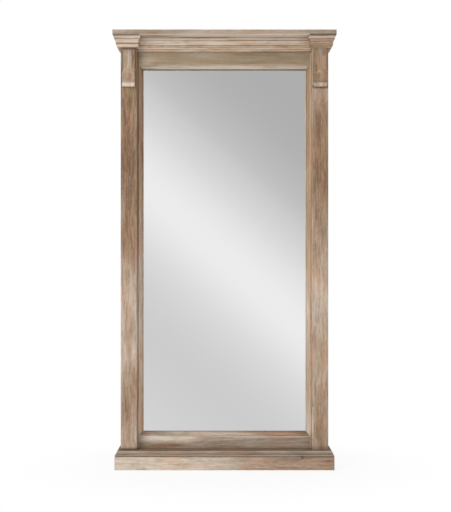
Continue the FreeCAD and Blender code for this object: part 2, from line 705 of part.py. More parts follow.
# Hangers: a strap with a rolled loop and a ring that swings in it
half_strap = d.strap_width / 2
wire_radius = d.ring_wire / 2
loop_bore = wire_radius + d.ring_play
loop_radius = loop_bore + d.loop_wall
bow_radius = d.ring_inner_width / 2 + wire_radius
arm_length = d.ring_inner_height + d.ring_wire - bow_radius
for side_name, side in SIDES:
    centre = side * stile_middle
    strap = document.addObject("PartDesign::Body", f"{side_name}_strap")
    face = sketch_on(strap, "XZ_Plane")
    outline(face, [
        (half_strap, loop_radius),
        (-half_strap, loop_radius),
        (-half_strap, half_strap - d.strap_length, ROUND, QUARTER_BULGE * half_strap),
        (floor, -d.strap_length, ROUND, QUARTER_BULGE * half_strap),
        (half_strap, half_strap - d.strap_length),
    ])
    plate = strap.newObject("PartDesign::Pad", f"{side_name}_plate")
    plate.Profile = face
    bind(plate, "Length", d.strap_thickness)
    place(strap, (centre, frame_back + d.strap_thickness, hanger_height), STRAIGHT)
    loop_start = (centre - half_strap, ring_axis, hanger_height)
    loop = rod(f"{side_name}_loop", loop_start, RIGHTWARD, loop_radius, d.strap_width)
    bore = rod(f"{side_name}_loop_bore", loop_start, RIGHTWARD, loop_bore, d.strap_width)
    blank = fuse(f"{side_name}_hanger_blank", [strap, loop])
    keep(f"{side_name}_hanger_strap", cut(f"{side_name}_hanger", blank, [bore, hanger_screw_group]))

    bar_start = (centre - bow_radius, ring_axis, hanger_height)
    bow_middle = (centre, ring_axis, hanger_height - arm_length)
    wire = [rod(f"{side_name}_ring_bar", bar_start, RIGHTWARD, wire_radius, 2 * bow_radius)]
    for end in (-1, 1):
        arm_foot = (centre + end * bow_radius, ring_axis, hanger_height - arm_length)
        wire.append(rod(f"{side_name}_ring_arm", arm_foot, UPWARD, wire_radius, arm_length))
        corner = document.addObject("Part::Sphere", f"{side_name}_ring_corner")
        bind(corner, "Radius", wire_radius)
        place(corner, (centre + end * bow_radius, ring_axis, hanger_height), STRAIGHT)
        wire.append(corner)
    bow = document.addObject("Part::Torus", f"{side_name}_ring_bow")
    bind(bow, "Radius1", bow_radius)
    bind(bow, "Radius2", wire_radius)
    bow.Angle3 = 180
    place(bow, bow_middle, BACKWARD[1])
    wire.append(bow)
    keep(f"{side_name}_hanger_ring", fuse(f"{side_name}_ring", wire))

document.recompute()
for thing in document.Objects:
    if "Invalid" in thing.State or "Error" in thing.State:
        raise RuntimeError(f"{thing.Label} failed: {thing.State}")
for sub_part in sub_parts:
    if sub_part.Shape.isNull() or not sub_part.Shape.isValid():
        raise RuntimeError(f"{sub_part.Label} has no valid shape")

os.makedirs("parts", exist_ok=True)
for sub_part in sub_parts:
    sub_part.Shape.exportStep(f"parts/{sub_part.Label}.step")
    print(sub_part.Label, len(sub_part.Shape.Solids), round(sub_part.Shape.Volume))
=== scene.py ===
import math
import random
from collections import namedtuple

import bpy
from bpy.props import FloatProperty, FloatVectorProperty, PointerProperty
from bpy.types import Operator, Panel, PropertyGroup
from mathutils import Matrix, Vector, noise


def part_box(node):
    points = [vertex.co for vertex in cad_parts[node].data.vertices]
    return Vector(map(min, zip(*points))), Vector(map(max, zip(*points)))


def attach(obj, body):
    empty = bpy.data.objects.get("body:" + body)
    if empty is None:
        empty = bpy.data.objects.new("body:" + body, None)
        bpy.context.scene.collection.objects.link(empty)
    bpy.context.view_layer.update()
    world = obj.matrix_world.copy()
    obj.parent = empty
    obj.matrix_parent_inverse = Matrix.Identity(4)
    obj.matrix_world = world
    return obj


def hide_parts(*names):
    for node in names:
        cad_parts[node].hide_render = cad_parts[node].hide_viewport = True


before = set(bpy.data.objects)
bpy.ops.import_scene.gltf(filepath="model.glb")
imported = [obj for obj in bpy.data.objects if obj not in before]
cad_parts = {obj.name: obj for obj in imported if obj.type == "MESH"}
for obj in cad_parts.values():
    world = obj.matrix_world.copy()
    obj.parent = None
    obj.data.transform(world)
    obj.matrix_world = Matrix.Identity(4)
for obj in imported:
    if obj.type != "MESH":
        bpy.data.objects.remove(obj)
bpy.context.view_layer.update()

bl_info = {
    "name": "Floor Mirror",
    "version": (1, 0, 0),
    "blender": (4, 5, 0),
    "location": "3D View > Sidebar > Floor Mirror",
    "description": "Dresses a tall floor mirror in whitewashed, worn pine and sets a plain studio round it",
    "category": "Object",
}

MM = 0.001
FAR = 10000


def cad_corners(node):
    """The lowest and the highest corner of a CAD node in millimetres, rounded to a micrometre."""
    return [Vector([round(place / MM, 3) for place in corner]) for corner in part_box(node)]


def cad_size(node):
    """How wide, deep and high a CAD node is, in millimetres."""
    low, high = cad_corners(node)
    return high - low


def board_profile(node):
    """The profile of a plain board, as deep and high as its CAD node."""
    _, depth, height = cad_size(node)
    return (0, 0), (depth, 0), (depth, height), (0, height)


# Lines of the joinery in millimetres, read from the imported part
COLUMN_LOW, COLUMN_HIGH = cad_corners("right_pilaster")
COLUMN_INNER = COLUMN_LOW.x
COLUMN_OUTER = COLUMN_HIGH.x
COLUMN_WIDTH = COLUMN_OUTER - COLUMN_INNER
COLUMN_FACE = COLUMN_LOW.y
FRAME_FACE = COLUMN_HIGH.y
COLUMN_DEPTH = FRAME_FACE - COLUMN_FACE
COLUMN_HEAD = COLUMN_HIGH.z
WALL = cad_corners("top_cap")[1].y
SIDE_LENGTH = WALL - COLUMN_FACE
LEDGE = cad_corners("base_sill")[1].z
CROWN_FOOT = cad_corners("cornice")[0].z
OPENING_SIDE = -cad_corners("sight_moulding_bottom")[0].x
OPENING_FOOT = cad_corners("sight_moulding_bottom")[0].z
OPENING_HEAD = cad_corners("sight_moulding_top")[1].z

# Profiles in millimetres, as corners (out, up). From a corner with a third number an arc goes to the next
# corner, which swells by that much, or is hollowed where the number is below zero. A quarter round swells by
# this share of its radius.
QUARTER = 1 - 0.5 ** 0.5

# Crown: a leaning band, a groove, an upright, a cove and a fillet
_, CROWN_REACH, CROWN_HEIGHT = cad_size("cornice")
CAPITAL_INNER = cad_corners("right_capital_front")[0].x + CROWN_REACH
BAND_FOOT, BAND_HEAD, BAND_TOP = 14, 20, 15
GROOVE_BACK, GROOVE_TOP = 18, 18
COVE_FOOT, COVE_HEAD, FILLET_FOOT = 26, 26, 39
CROWN = (
    (0, 0), (BAND_FOOT, 0, 0.8), (BAND_HEAD, BAND_TOP), (GROOVE_BACK, BAND_TOP), (GROOVE_BACK, GROOVE_TOP),
    (BAND_HEAD, GROOVE_TOP), (BAND_HEAD, COVE_FOOT, -2), (COVE_HEAD, FILLET_FOOT),
    (CROWN_REACH, FILLET_FOOT), (CROWN_REACH, CROWN_HEIGHT), (0, CROWN_HEIGHT))

# Base moulding: a fillet, a cove that falls back, a step and a leaning bead
_, BASE_REACH, BASE_HEIGHT = cad_size("base_moulding_front")
BASE_FILLET, BASE_COVE_BACK, BASE_COVE_TOP = 5.5, 18, 14
BASE_BEAD_FOOT, BASE_BEAD_HEAD = 15.5, 9
BASE = (
    (0, 0), (BASE_REACH, 0), (BASE_REACH, BASE_FILLET, -1.8), (BASE_COVE_BACK, BASE_COVE_TOP),
    (BASE_BEAD_FOOT, BASE_COVE_TOP, 3.5), (BASE_BEAD_HEAD, BASE_HEIGHT), (0, BASE_HEIGHT))

# Bracket: a bullnose foot, a step, a roll whose top is arched and a hollow head
BRACKET_HEIGHT = cad_size("left_bracket").z
BRACKET_FLAT, BRACKET_FOOT, ROLL_BACK, ROLL_TOP = 9.5, 20, 7, 80
ARCH_RISE, ARCH_REACH = 14, 58
BRACKET = (
    (0, 0), (BRACKET_FLAT, 0, 5), (BRACKET_FLAT, BRACKET_FOOT), (ROLL_BACK, BRACKET_FOOT, 10.5),
    (BRACKET_FLAT, ROLL_TOP, -2.5), (BRACKET_FLAT, BRACKET_HEIGHT), (0, BRACKET_HEIGHT))

# Bead strip: a half round on a flat
_, BEAD_REACH, BEAD_HEIGHT = cad_size("frieze_bead")
BEAD_ROUND = BEAD_HEIGHT / 2
BEAD_FLAT = BEAD_REACH - BEAD_ROUND
BEAD = (
    (0, 0), (BEAD_FLAT, 0, BEAD_ROUND * QUARTER), (BEAD_REACH, BEAD_ROUND, BEAD_ROUND * QUARTER),
    (BEAD_FLAT, BEAD_HEIGHT), (0, BEAD_HEIGHT))

# Sight moulding, lying on its back: a shoulder, a hollow slope and a square lip
_, SIGHT_DEPTH, SIGHT_WIDTH = cad_size("sight_moulding_bottom")
SIGHT_SHOULDER, SIGHT_LIP = 1.5, 5
SIGHT = (
    (0, 0), (SIGHT_SHOULDER, 0, -2.5), (SIGHT_WIDTH - SIGHT_LIP, SIGHT_DEPTH - SIGHT_LIP),
    (SIGHT_WIDTH, SIGHT_DEPTH - SIGHT_LIP), (SIGHT_WIDTH, SIGHT_DEPTH), (0, SIGHT_DEPTH))

# Column: a plank with rounded front edges
COLUMN_EDGE = 2.5
COLUMN = (
    (0, 0), (COLUMN_DEPTH - COLUMN_EDGE, 0, COLUMN_EDGE * QUARTER), (COLUMN_DEPTH, COLUMN_EDGE),
    (COLUMN_DEPTH, COLUMN_WIDTH - COLUMN_EDGE, COLUMN_EDGE * QUARTER),
    (COLUMN_DEPTH - COLUMN_EDGE, COLUMN_WIDTH), (0, COLUMN_WIDTH))

PLINTH = board_profile("plinth_front")
CAP = board_profile("top_cap")

# Turns of a strip, which runs to the right and faces the front before them
STRAIGHT = Matrix.Identity(4)
FACING_LEFT = Matrix.Rotation(math.radians(-90), 4, "Z")
FACING_RIGHT = Matrix.Rotation(math.radians(90), 4, "Z")
UPRIGHT = Matrix.Rotation(math.radians(-90), 4, "Y")
LYING = Matrix.Rotation(math.radians(-90), 4, "X")

# More or less wash, glaze or a chip round a point of a strip's outline, from start to end along the strip
# and no higher than its top. In many touches the wash is painted light and the glaze is painted shade
Touch = namedtuple("Touch", "out up reach wash glaze chip start end top", defaults=(0, 0, 0, -FAR, FAR, FAR))

# A darker line across an axis of a frame board, and a patch with more or less wash, in millimetres. The line
# beside a column is painted shadow, and some patches are painted light and painted shade
DarkLine = namedtuple("DarkLine", "axis place width depth")
Patch = namedtuple("Patch", "x z reach_x reach_z wash")

# How a strip is drawn, in millimetres: points along arcs and flats and beside edges, and where its back ends
ARC_STEP = 1.6
FLAT_STEP = 14
BESIDE_EDGE = (1.5, 4.0)
BACK = 0.01

# How many times longer a side is that has points beside its edges, and the most an edge may take of it
LEAST_SIDE = 2.5
EASED_SHARE = 0.45

# Turns that count as an edge of the outline and as an edge in shading, and how far the ends of a strip lean
SHARP_TURN = math.radians(28)
SMOOTH_TURN = math.radians(50)
END_SHIFT = {"square": 0, "outside": -1, "inside": 1}
SQUARE_ENDS = ("square", "square")

# How far wear, glaze and painted shade spread on a strip, in millimetres
EDGE_FADE = 3
CREVICE_FADE = 4
SEAM_FADE = 4
WAVE_LENGTH = 60
KNOCK_SPACING = 14

# Small knocks and the larger ones: how rare they are, and how much wider and deeper the larger ones are
SMALL_RARITY, LARGE_RARITY = 0.12, 0.38
LARGE_WIDTH, LARGE_DEPTH = 3, 1.2

# How much glaze and painted shade a crevice gets, and how much of the wear is left at a mitre
CREVICE_GLAZE_AND_SHADE = 0.6
WEAR_AT_MITRE = 0.15

# Where the dark lines of a frame board end, behind its face, and where its bare back begins, in millimetres
DARK_LINE_DEPTH = (1, 4)
BARE_BACK = (46, 58)

# Patterns of the pine: repeats per metre along and across the grain, detail and roughness of the noise
PATTERNS = {
    "slow": (4, 10, 2.0, 0.5),
    "broad": (5, 26, 2.0, 0.5),
    "cloud": (6, 22, 3.0, 0.6),
    "streak": (8, 110, 3.0, 0.6),
    "fine": (60, 420, 2.0, 0.6),
    "fibre": (160, 1500, 1.0, 0.5),
    "hue": (10, 38, 3.0, 0.65),
    "weather": (5, 40, 2.0, 0.55),
}

# Growth rings in metres: how far apart they are, how far they wander and how far they bend round a knot
RING_SPACING = 0.0085
RING_WAVE = 0.06
RING_ROUND_KNOT = 0.012


def tint(red, green, blue):
    """A colour as read off a screen, from 0 to 255, in the linear numbers that shaders take."""
    shares = (value / 255 for value in (red, green, blue))
    return tuple(share / 12.92 if share < 0.04045 else ((share + 0.055) / 1.055) ** 2.4 for share in shares)


def colour_setting(name, description, default):
    """A setting that holds a colour, given as read off a screen."""
    return FloatVectorProperty(
        name=name, description=description, subtype="COLOR", size=3, min=0, max=1, default=tint(*default))


def length_setting(name, description, default, least=0):
    """A setting that holds a length, given in millimetres."""
    return FloatProperty(
        name=name, description=description, subtype="DISTANCE", unit="LENGTH", min=least * MM,
        default=default * MM)


class PineColours(PropertyGroup):
    """Colours of the wood, of what was brushed over it, and of painted light and shade."""

    dark: colour_setting("Dark grain", "Late growth rings and knots", (112, 80, 55))
    brown: colour_setting("Brown", "Stained pine", (146, 112, 83))
    tan: colour_setting("Tan", "Pale streaks of the stained pine", (176, 147, 119))
    # The whitewash and chalk colours are also the colours of painted light, where a raised wash stands for
    # light
    wash: colour_setting("Whitewash", "Thin pale wash left in the grain", (208, 190, 172))
    chalk: colour_setting("Chalk", "Thick whitewash", (229, 216, 202))
    # Glaze in corners and joints, and also the colour of painted shade in crevices, under overhangs and in
    # cast shadows
    glaze: colour_setting("Glaze", "Dark glaze left in corners and joints", (78, 64, 50))
    film: colour_setting("Film", "Grey film over the flats", (126, 114, 98))
    raw: colour_setting("Raw pine", "Bare wood of backs and hidden blocks", (205, 170, 122))
    rose: colour_setting("Rose", "Reddish patches", (190, 142, 116))
    olive: colour_setting("Olive", "Greenish grey patches", (152, 142, 104))
    ochre: colour_setting("Ochre", "Yellowed wood", (182, 150, 112))
    amber: colour_setting("Amber", "Warm patches", (186, 147, 114))
    grey: colour_setting("Grey", "Weathered patches", (168, 155, 140))
    moss: colour_setting("Moss", "Grey-green film on the frieze", (150, 139, 114))


class WearSizes(PropertyGroup):
    """How worn the wooden pieces are."""

    ease: length_setting("Eased edge", "Radius of a worn edge", 1.3)
    swell: length_setting("Unevenness", "Depth of the hand-planed waves", 0.35)
    dent: length_setting("Dents", "Depth of the knocks along an edge", 2.4)
    spacing: length_setting("Step", "Distance between the drawn sections", 9, 2)


class StudioSettings(PropertyGroup):
    """Camera and light of the plain studio."""

    camera_place: FloatVectorProperty(
        name="Camera", description="Where the camera stands", subtype="TRANSLATION", unit="LENGTH", size=3,
        default=(0.0045, -4.361, 0.973))
    lens: FloatProperty(
        name="Lens", description="Focal length for a 36 mm long side", unit="CAMERA", min=1, default=66.64)
    ambient: FloatProperty(name="Ambient", description="Light from all round", min=0, default=0.78)
    key: FloatProperty(
        name="Key light", description="Power of the large soft lamp", unit="POWER", min=0, default=62)


SETTINGS = {
    "floor_mirror_pine": PineColours,
    "floor_mirror_wear": WearSizes,
    "floor_mirror_studio": StudioSettings,
}


class Value:
    """One output of a recipe's nodes. Arithmetic on it adds Math nodes."""

    def __init__(self, recipe, socket):
        self.recipe = recipe
        self.socket = socket

    def out(self, name):
        """Another output of the same node."""
        return Value(self.recipe, self.socket.node.outputs[name])

    def math(self, operation, *others):
        """A Math node that takes this value first."""
        return self.recipe.node("ShaderNodeMath", {"operation": operation}, dict(enumerate((self, *others))))

    def reflected(self, operation, other):
        """A Math node that takes this value second."""
        return self.recipe.node("ShaderNodeMath", {"operation": operation}, {0: other, 1: self})

    def __add__(self, other):
        return self.math("ADD", other)

    def __sub__(self, other):
        return self.math("SUBTRACT", other)

    def __rsub__(self, other):
        return self.reflected("SUBTRACT", other)

    def __mul__(self, other):
        return self.math("MULTIPLY", other)

    def __truediv__(self, other):
        return self.math("DIVIDE", other)

    def __rtruediv__(self, other):
        return self.reflected("DIVIDE", other)

    def __pow__(self, other):
        return self.math("POWER", other)

    def __rpow__(self, other):
        return self.reflected("POWER", other)

    __radd__ = __add__
    __rmul__ = __mul__


class Recipe:
    """The nodes of one material or of the world."""

    def __init__(self, owner):
        owner.use_nodes = True
        self.tree = owner.node_tree
        self.tree.nodes.clear()

    def node(self, kind, settings=None, sockets=None, output=0):
        """Add a node: its settings first, then the values or links of its sockets."""
        added = self.tree.nodes.new(kind)
        for name, setting in (settings or {}).items():
            if name == "stops":
                elements = added.color_ramp.elements
                while len(elements) < len(setting):
                    elements.new(1)
                for element, (position, colour) in zip(elements, setting):
                    element.position = position
                    element.color = (*colour, 1)
            elif name == "interpolation":
                added.color_ramp.interpolation = setting
            else:
                setattr(added, name, setting)
        for name, value in (sockets or {}).items():
            if isinstance(value, Value):
                self.tree.links.new(value.socket, added.inputs[name])
            else:
                added.inputs[name].default_value = value
        return Value(self, added.outputs[output]) if added.outputs else None

    def attribute(self, name, output):
        return self.node("ShaderNodeAttribute", {"attribute_name": name}, output=output)

    def place(self):
        """Where a point of the object is, in metres."""
        return self.node("ShaderNodeTexCoord", output="Object")

    def position(self):
        """The three coordinates of a point's place."""
        parts = self.node("ShaderNodeSeparateXYZ", sockets={0: self.place()})
        return tuple(parts.out(axis) for axis in "XYZ")

    def vector(self, x, y, z):
        return self.node("ShaderNodeCombineXYZ", sockets={0: x, 1: y, 2: z})

    def scaled(self, vector, factors):
        return self.node("ShaderNodeVectorMath", {"operation": "MULTIPLY"}, {0: vector, 1: factors})

    def length(self, vector):
        return self.node("ShaderNodeVectorMath", {"operation": "LENGTH"}, {0: vector}, output="Value")

    def noise(self, vector, factors, detail, roughness):
        place = self.scaled(vector, factors)
        return self.node(
            "ShaderNodeTexNoise",
            sockets={"Vector": place, "Scale": 1.0, "Detail": detail, "Roughness": roughness})

    def even_noise(self, repeats, detail=2.0, roughness=0.5):
        """Noise that is alike in all directions, with its repeats per metre."""
        return self.noise(self.place(), (repeats, repeats, repeats), detail, roughness)

    def smooth(self, value, low, high):
        """Ease from 0 at one value to 1 at another."""
        return self.node(
            "ShaderNodeMapRange", {"interpolation_type": "SMOOTHSTEP"},
            {0: value, 1: low, 2: high, 3: 0.0, 4: 1.0})

    def spots(self, vector, factors, size, rarity):
        """Round spots in some of the cells of a vector: 1 in a spot and 0 beside it."""
        cells = self.node(
            "ShaderNodeTexVoronoi", {"feature": "F1"},
            {"Vector": self.scaled(vector, factors), "Scale": 1.0, "Randomness": 1.0})
        chance = self.node("ShaderNodeSeparateColor", sockets={0: cells.out("Color")})
        return self.smooth(cells.out("Distance"), *size) * self.smooth(chance, *rarity)

    def mix(self, share, colour, other, blend="MIX"):
        def opaque(given):
            return given if isinstance(given, Value) else (*given, 1.0)
        return self.node(
            "ShaderNodeMix", {"data_type": "RGBA", "blend_type": blend},
            {0: share, 6: opaque(colour), 7: opaque(other)}, output=2)

    def surface(self, **sockets):
        """The finished surface. Underscores in the names of sockets stand for spaces."""
        named = {name.replace("_", " "): value for name, value in sockets.items()}
        shader = self.node("ShaderNodeBsdfPrincipled", sockets=named)
        self.node("ShaderNodeOutputMaterial", sockets={0: shader})

    def bump(self, height, strength, distance):
        return self.node(
            "ShaderNodeBump", sockets={"Strength": strength, "Distance": distance, "Height": height})


def new_material(name):
    """An empty material and its recipe."""
    made = bpy.data.materials.new(name)
    return made, Recipe(made)


def dress(material, *nodes):
    """Give CAD nodes their finish."""
    for node in nodes:
        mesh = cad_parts[node].data
        mesh.materials.clear()
        mesh.materials.append(material)


def washed_surface(recipe, grain, wash, edge, crevice, film, mottle=1.0, bare=None):
    """Stained pine with a worn whitewash. The crevice mark paints glaze and painted shade, the edge mark
    paints worn edges that are in part a painted highlight, and a raised wash stands in places for painted
    light.
    The grain runs along the first coordinate of the grain vector. The film is the name of a colour and its
    share. The mottle is how uneven wash and hue are."""
    colours = bpy.context.scene.floor_mirror_pine
    film_colour, film_share = film
    slow, broad, cloud, streak, fine, fibre, hue, weather = (
        recipe.noise(grain, (along, across, across), detail, roughness)
        for along, across, detail, roughness in PATTERNS.values())
    knot = recipe.spots(grain, (3.2, 9, 9), size=(0.16, 0.05), rarity=(0.80, 0.82))
    nick = recipe.spots(grain, (22, 30, 30), size=(0.075, 0.03), rarity=(0.88, 0.9))
    pith_distance = recipe.length(recipe.scaled(grain, (0, 1, 1)))
    wavy_distance = pith_distance + (slow - 0.5) * RING_WAVE + knot * RING_ROUND_KNOT
    late = (wavy_distance / RING_SPACING).math("FRACT") ** 3

    uneven = (cloud - 0.5) * 0.9 + (streak - 0.5) * 0.6
    uneven = uneven + (fine - 0.5) * 0.5 + (fibre - 0.5) * 0.3 - late * 0.1
    level = wash + uneven * mottle
    bared = level.math("MINIMUM", 0.0)
    tone = broad * 0.65 + streak * 0.35 + (fine - 0.5) * 0.3 - late * 0.10 + bared * 0.35
    wood = recipe.node(
        "ShaderNodeValToRGB",
        {"stops": ((0.28, colours.dark), (0.46, colours.brown), (0.70, colours.tan))}, {0: tone})
    wood = recipe.mix(knot * 0.75, wood, colours.dark)
    washed = recipe.smooth(level, 0.05, 1.05)
    paint = recipe.mix(recipe.smooth(streak * 0.6 + hue * 0.4, 0.38, 0.62), colours.wash, colours.chalk)
    colour = recipe.mix(washed * 0.9, wood, paint)
    colour = recipe.mix(recipe.smooth(hue, 0.52, 0.70) * 0.5, colour, colours.rose)
    colour = recipe.mix(recipe.smooth(hue, 0.48, 0.30) * 0.5, colour, colours.olive)
    warm = recipe.smooth(weather, 0.50, 0.64) * (0.65 * mottle)
    cool = recipe.smooth(weather, 0.46, 0.32) * (0.6 * mottle)
    colour = recipe.mix(warm, colour, colours.amber, "COLOR")
    colour = recipe.mix(cool, colour, colours.grey, "COLOR")
    colour = recipe.mix(film_share * (0.55 + cloud * 0.9), colour, getattr(colours, film_colour))
    colour = recipe.mix(recipe.smooth(level, 1.1, 1.7) * 0.8, colour, colours.chalk)
    # Paler convex edges: worn whitewash, and in part a painted highlight
    pale = recipe.smooth(edge * (0.30 + streak * 0.6 + cloud * 0.6), 0.25, 0.85)
    colour = recipe.mix(pale * 0.6, colour, paint)
    # Darkened crevices and touches: glaze, and painted shade where shade falls
    shadowed = recipe.smooth(crevice * (0.7 + cloud * 0.6) + (fine - 0.5) * crevice * 0.5, 0.05, 1.0)
    colour = recipe.mix(shadowed * 0.85, colour, colours.glaze)
    colour = recipe.mix(nick * 0.8, colour, colours.glaze)
    if bare is not None:
        raw = recipe.mix(streak * 0.5 + late * 0.35, colours.raw, colours.tan)
        colour = recipe.mix(bare * recipe.smooth(cloud + streak, 0.55, 0.8), colour, raw)
    height = streak * 0.5 + fine * 0.5 + fibre * 0.3 - late * 0.3 - nick * 1.5 - shadowed * 0.2
    recipe.surface(
        Base_Color=colour, Roughness=0.62 + washed * 0.16 - late * 0.08, Specular_IOR_Level=0.3,
        Normal=recipe.bump(height, strength=0.5, distance=0.0007))


def worn_pine(name, film, mottle=1.0):
    """Finish of a worn strip, which carries its own marks."""
    made, recipe = new_material(name)
    marks = {mark: recipe.attribute(mark, "Fac") for mark in ("wash", "edge", "crevice")}
    washed_surface(recipe, recipe.attribute("grain", "Vector"), film=film, mottle=mottle, **marks)
    return made


def frame_pine(name, along, wash, film, lines=(), patches=()):
    """Finish of a CAD board of the frame, whose grain runs along an axis and whose back is bare."""
    made, recipe = new_material(name)
    x, y, z = recipe.position()
    grain = recipe.vector(z, x, y) if along == "z" else recipe.vector(x, y, z)
    places = {"x": x, "z": z}
    crevice = 0
    for line in lines:
        distance = (places[line.axis] - line.place * MM).math("ABSOLUTE")
        glaze = recipe.smooth(distance, line.width * MM, 0.0) * line.depth
        crevice = glaze.math("MAXIMUM", crevice)
    for patch in patches:
        beside = (x - patch.x * MM) / (patch.reach_x * MM)
        above = (z - patch.z * MM) / (patch.reach_z * MM)
        wash = wash + recipe.smooth(beside * beside + above * above, 1.0, 0.0) * patch.wash
    nearest, furthest = ((FRAME_FACE + depth) * MM for depth in DARK_LINE_DEPTH)
    front = recipe.smooth(y, furthest, nearest)
    bare = recipe.smooth(y, *(depth * MM for depth in BARE_BACK))
    washed_surface(recipe, grain, wash, edge=0.0, crevice=crevice * front, film=film, bare=bare)
    return made


def arc_points(start, end, bulge):
    """Points of an arc from one corner to the next, without the corners."""
    chord = end - start
    outward = Vector((chord.y, -chord.x)).normalized() * math.copysign(1, bulge)
    sag = abs(bulge)
    half = chord.length / 2
    radius = (half * half + sag * sag) / (2 * sag)
    half_angle = 2 * math.atan2(sag, half)
    centre = (start + end) / 2 + outward * (sag - radius)
    ahead = chord.normalized()
    steps = max(4, round(2 * radius * half_angle / ARC_STEP))
    angles = (half_angle * (2 * step / steps - 1) for step in range(1, steps))
    return [centre + radius * (math.sin(angle) * ahead + math.cos(angle) * outward) for angle in angles]


def eased_outline(corners, ease):
    """The outline with its arcs and with its sharp edges eased, as (point, edge, crevice)."""
    points = []
    for index, corner in enumerate(corners):
        points.append(Vector(corner[:2]))
        if len(corner) > 2:
            points.extend(arc_points(points[-1], Vector(corners[index + 1][:2]), corner[2]))
    marked = []
    for index, point in enumerate(points):
        back = points[index - 1] - point
        ahead = points[(index + 1) % len(points)] - point
        turn = math.atan2((-back).cross(ahead), (-back).dot(ahead))
        if turn > SHARP_TURN and point.x > 0:
            trim = min(ease * math.tan(turn / 2), EASED_SHARE * back.length, EASED_SHARE * ahead.length)
            first = point + back.normalized() * trim
            last = point + ahead.normalized() * trim
            marked.extend([(first, 1, 0), ((first + last + 2 * point) / 4, 1, 0), (last, 1, 0)])
        else:
            # A concave corner gets the crevice mark: glaze and painted shade
            marked.append((point, 0, 1 if turn < -SHARP_TURN else 0))
    return marked


def faded(mark, distance, reach):
    """What is left of a mark at a distance from it."""
    return mark * max(0, 1 - distance / reach)


def fine_outline(corners, ease):
    """The outline with points added beside its edges and along its flats, as (point, edge, crevice)."""
    marked = eased_outline(corners, ease)
    fine = []
    for index, (point, edge, crevice) in enumerate(marked):
        next_point, next_edge, next_crevice = marked[(index + 1) % len(marked)]
        length = (next_point - point).length
        stops = {0.0}
        for distance in BESIDE_EDGE:
            if LEAST_SIDE * distance < length:
                stops.update((distance, length - distance))
        ordered = sorted(stops) + [length]
        for low, high in zip(ordered, ordered[1:]):
            parts = max(1, math.ceil((high - low) / FLAT_STEP))
            for part in range(parts):
                run = low + (high - low) * part / parts
                rest = length - run
                edge_mark = max(faded(edge, run, EDGE_FADE), faded(next_edge, rest, EDGE_FADE))
                glaze_mark = max(faded(crevice, run, CREVICE_FADE), faded(next_crevice, rest, CREVICE_FADE))
                fine.append((point.lerp(next_point, run / length), edge_mark, CREVICE_GLAZE_AND_SHADE * glaze_mark))
    return fine


def sections(length, ends, ease, spacing):
    """Where the outline is drawn along a strip: (distance, inset, gap to the nearest mitre)."""
    rounding = ((0, ease), (0.3 * ease, 0.3 * ease), (ease, 0))
    seam = [(distance, 0) for distance in (0, *BESIDE_EDGE)]
    near = [seam if end != "square" else rounding for end in ends]
    start = [(distance, inset) for distance, inset in near[0]]
    finish = [(length - distance, inset) for distance, inset in reversed(near[1])]
    low, high = start[-1][0], finish[0][0]
    count = max(1, math.ceil((high - low) / spacing))
    middle = [(low + (high - low) * step / count, 0) for step in range(1, count)]
    drawn = []
    for distance, inset in start + middle + finish:
        gaps = [gap for gap, end in zip((distance, length - distance), ends) if end != "square"]
        drawn.append((distance, inset, min(gaps, default=FAR)))
    return drawn


def level_along(levels, share):
    """A value that changes evenly from one level to the next along a piece."""
    place = share * (len(levels) - 1)
    index = min(int(place), len(levels) - 2)
    return levels[index] + (levels[index + 1] - levels[index]) * (place - index)


def touched(touches, x, place):
    """The wash and glaze, in many touches painted light and painted shade, and the chip that touches give to
    a point of a strip.
    """
    wash, glaze, chip = 0, 0, 0
    for touch in touches:
        if touch.start <= x <= touch.end and place.y <= touch.top:
            distance = math.hypot(place.x - touch.out, place.y - touch.up)
            share = min(1, max(0, 2 - 2 * distance / touch.reach))
            wash += share * touch.wash
            glaze = max(glaze, share * touch.glaze)
            chip = max(chip, share * touch.chip)
    return wash, glaze, chip


def stand_for(node, mesh, material):
    """Make a mesh the piece that stands for a CAD node of the fixed frame."""
    mesh.shade_smooth()
    mesh.set_sharp_from_angle(angle=SMOOTH_TURN)
    mesh.materials.append(material)
    piece = bpy.data.objects.new(mesh.name, mesh)
    bpy.context.scene.collection.objects.link(piece)
    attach(piece, "frame")
    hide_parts(node)


def outline_normals(outline):
    """The outward direction at each point of a marked outline."""
    normals = []
    for index in range(len(outline)):
        tangent = outline[(index + 1) % len(outline)][0] - outline[index - 1][0]
        normals.append(Vector((tangent.y, -tangent.x)).normalized())
    return normals


def worn_depth(wear, world, edge, gap, spot_offset):
    """How far a point has worn in, in millimetres: shallow waves all over and knocks along the edges."""
    spot = world / KNOCK_SPACING + spot_offset
    swell = wear.swell * (0.5 + 0.5 * noise.noise(world / WAVE_LENGTH + spot_offset))
    small = max(0, noise.noise(spot) - SMALL_RARITY)
    large = max(0, noise.noise(spot / LARGE_WIDTH) - LARGE_RARITY)
    knock = small + LARGE_DEPTH * large
    return (swell + edge * wear.dent * knock) / MM * min(1, WEAR_AT_MITRE + gap / KNOCK_SPACING)


def strip_faces(rows, count):
    """The faces of a strip drawn as rows of one outline, and of its two ends."""
    faces = []
    for row in range(rows - 1):
        low, high = row * count, (row + 1) * count
        for index in range(count):
            following = (index + 1) % count
            faces.append((low + index, high + index, high + following, low + following))
    faces.append(tuple(range(count)))
    faces.append(tuple(reversed(range((rows - 1) * count, rows * count))))
    return faces


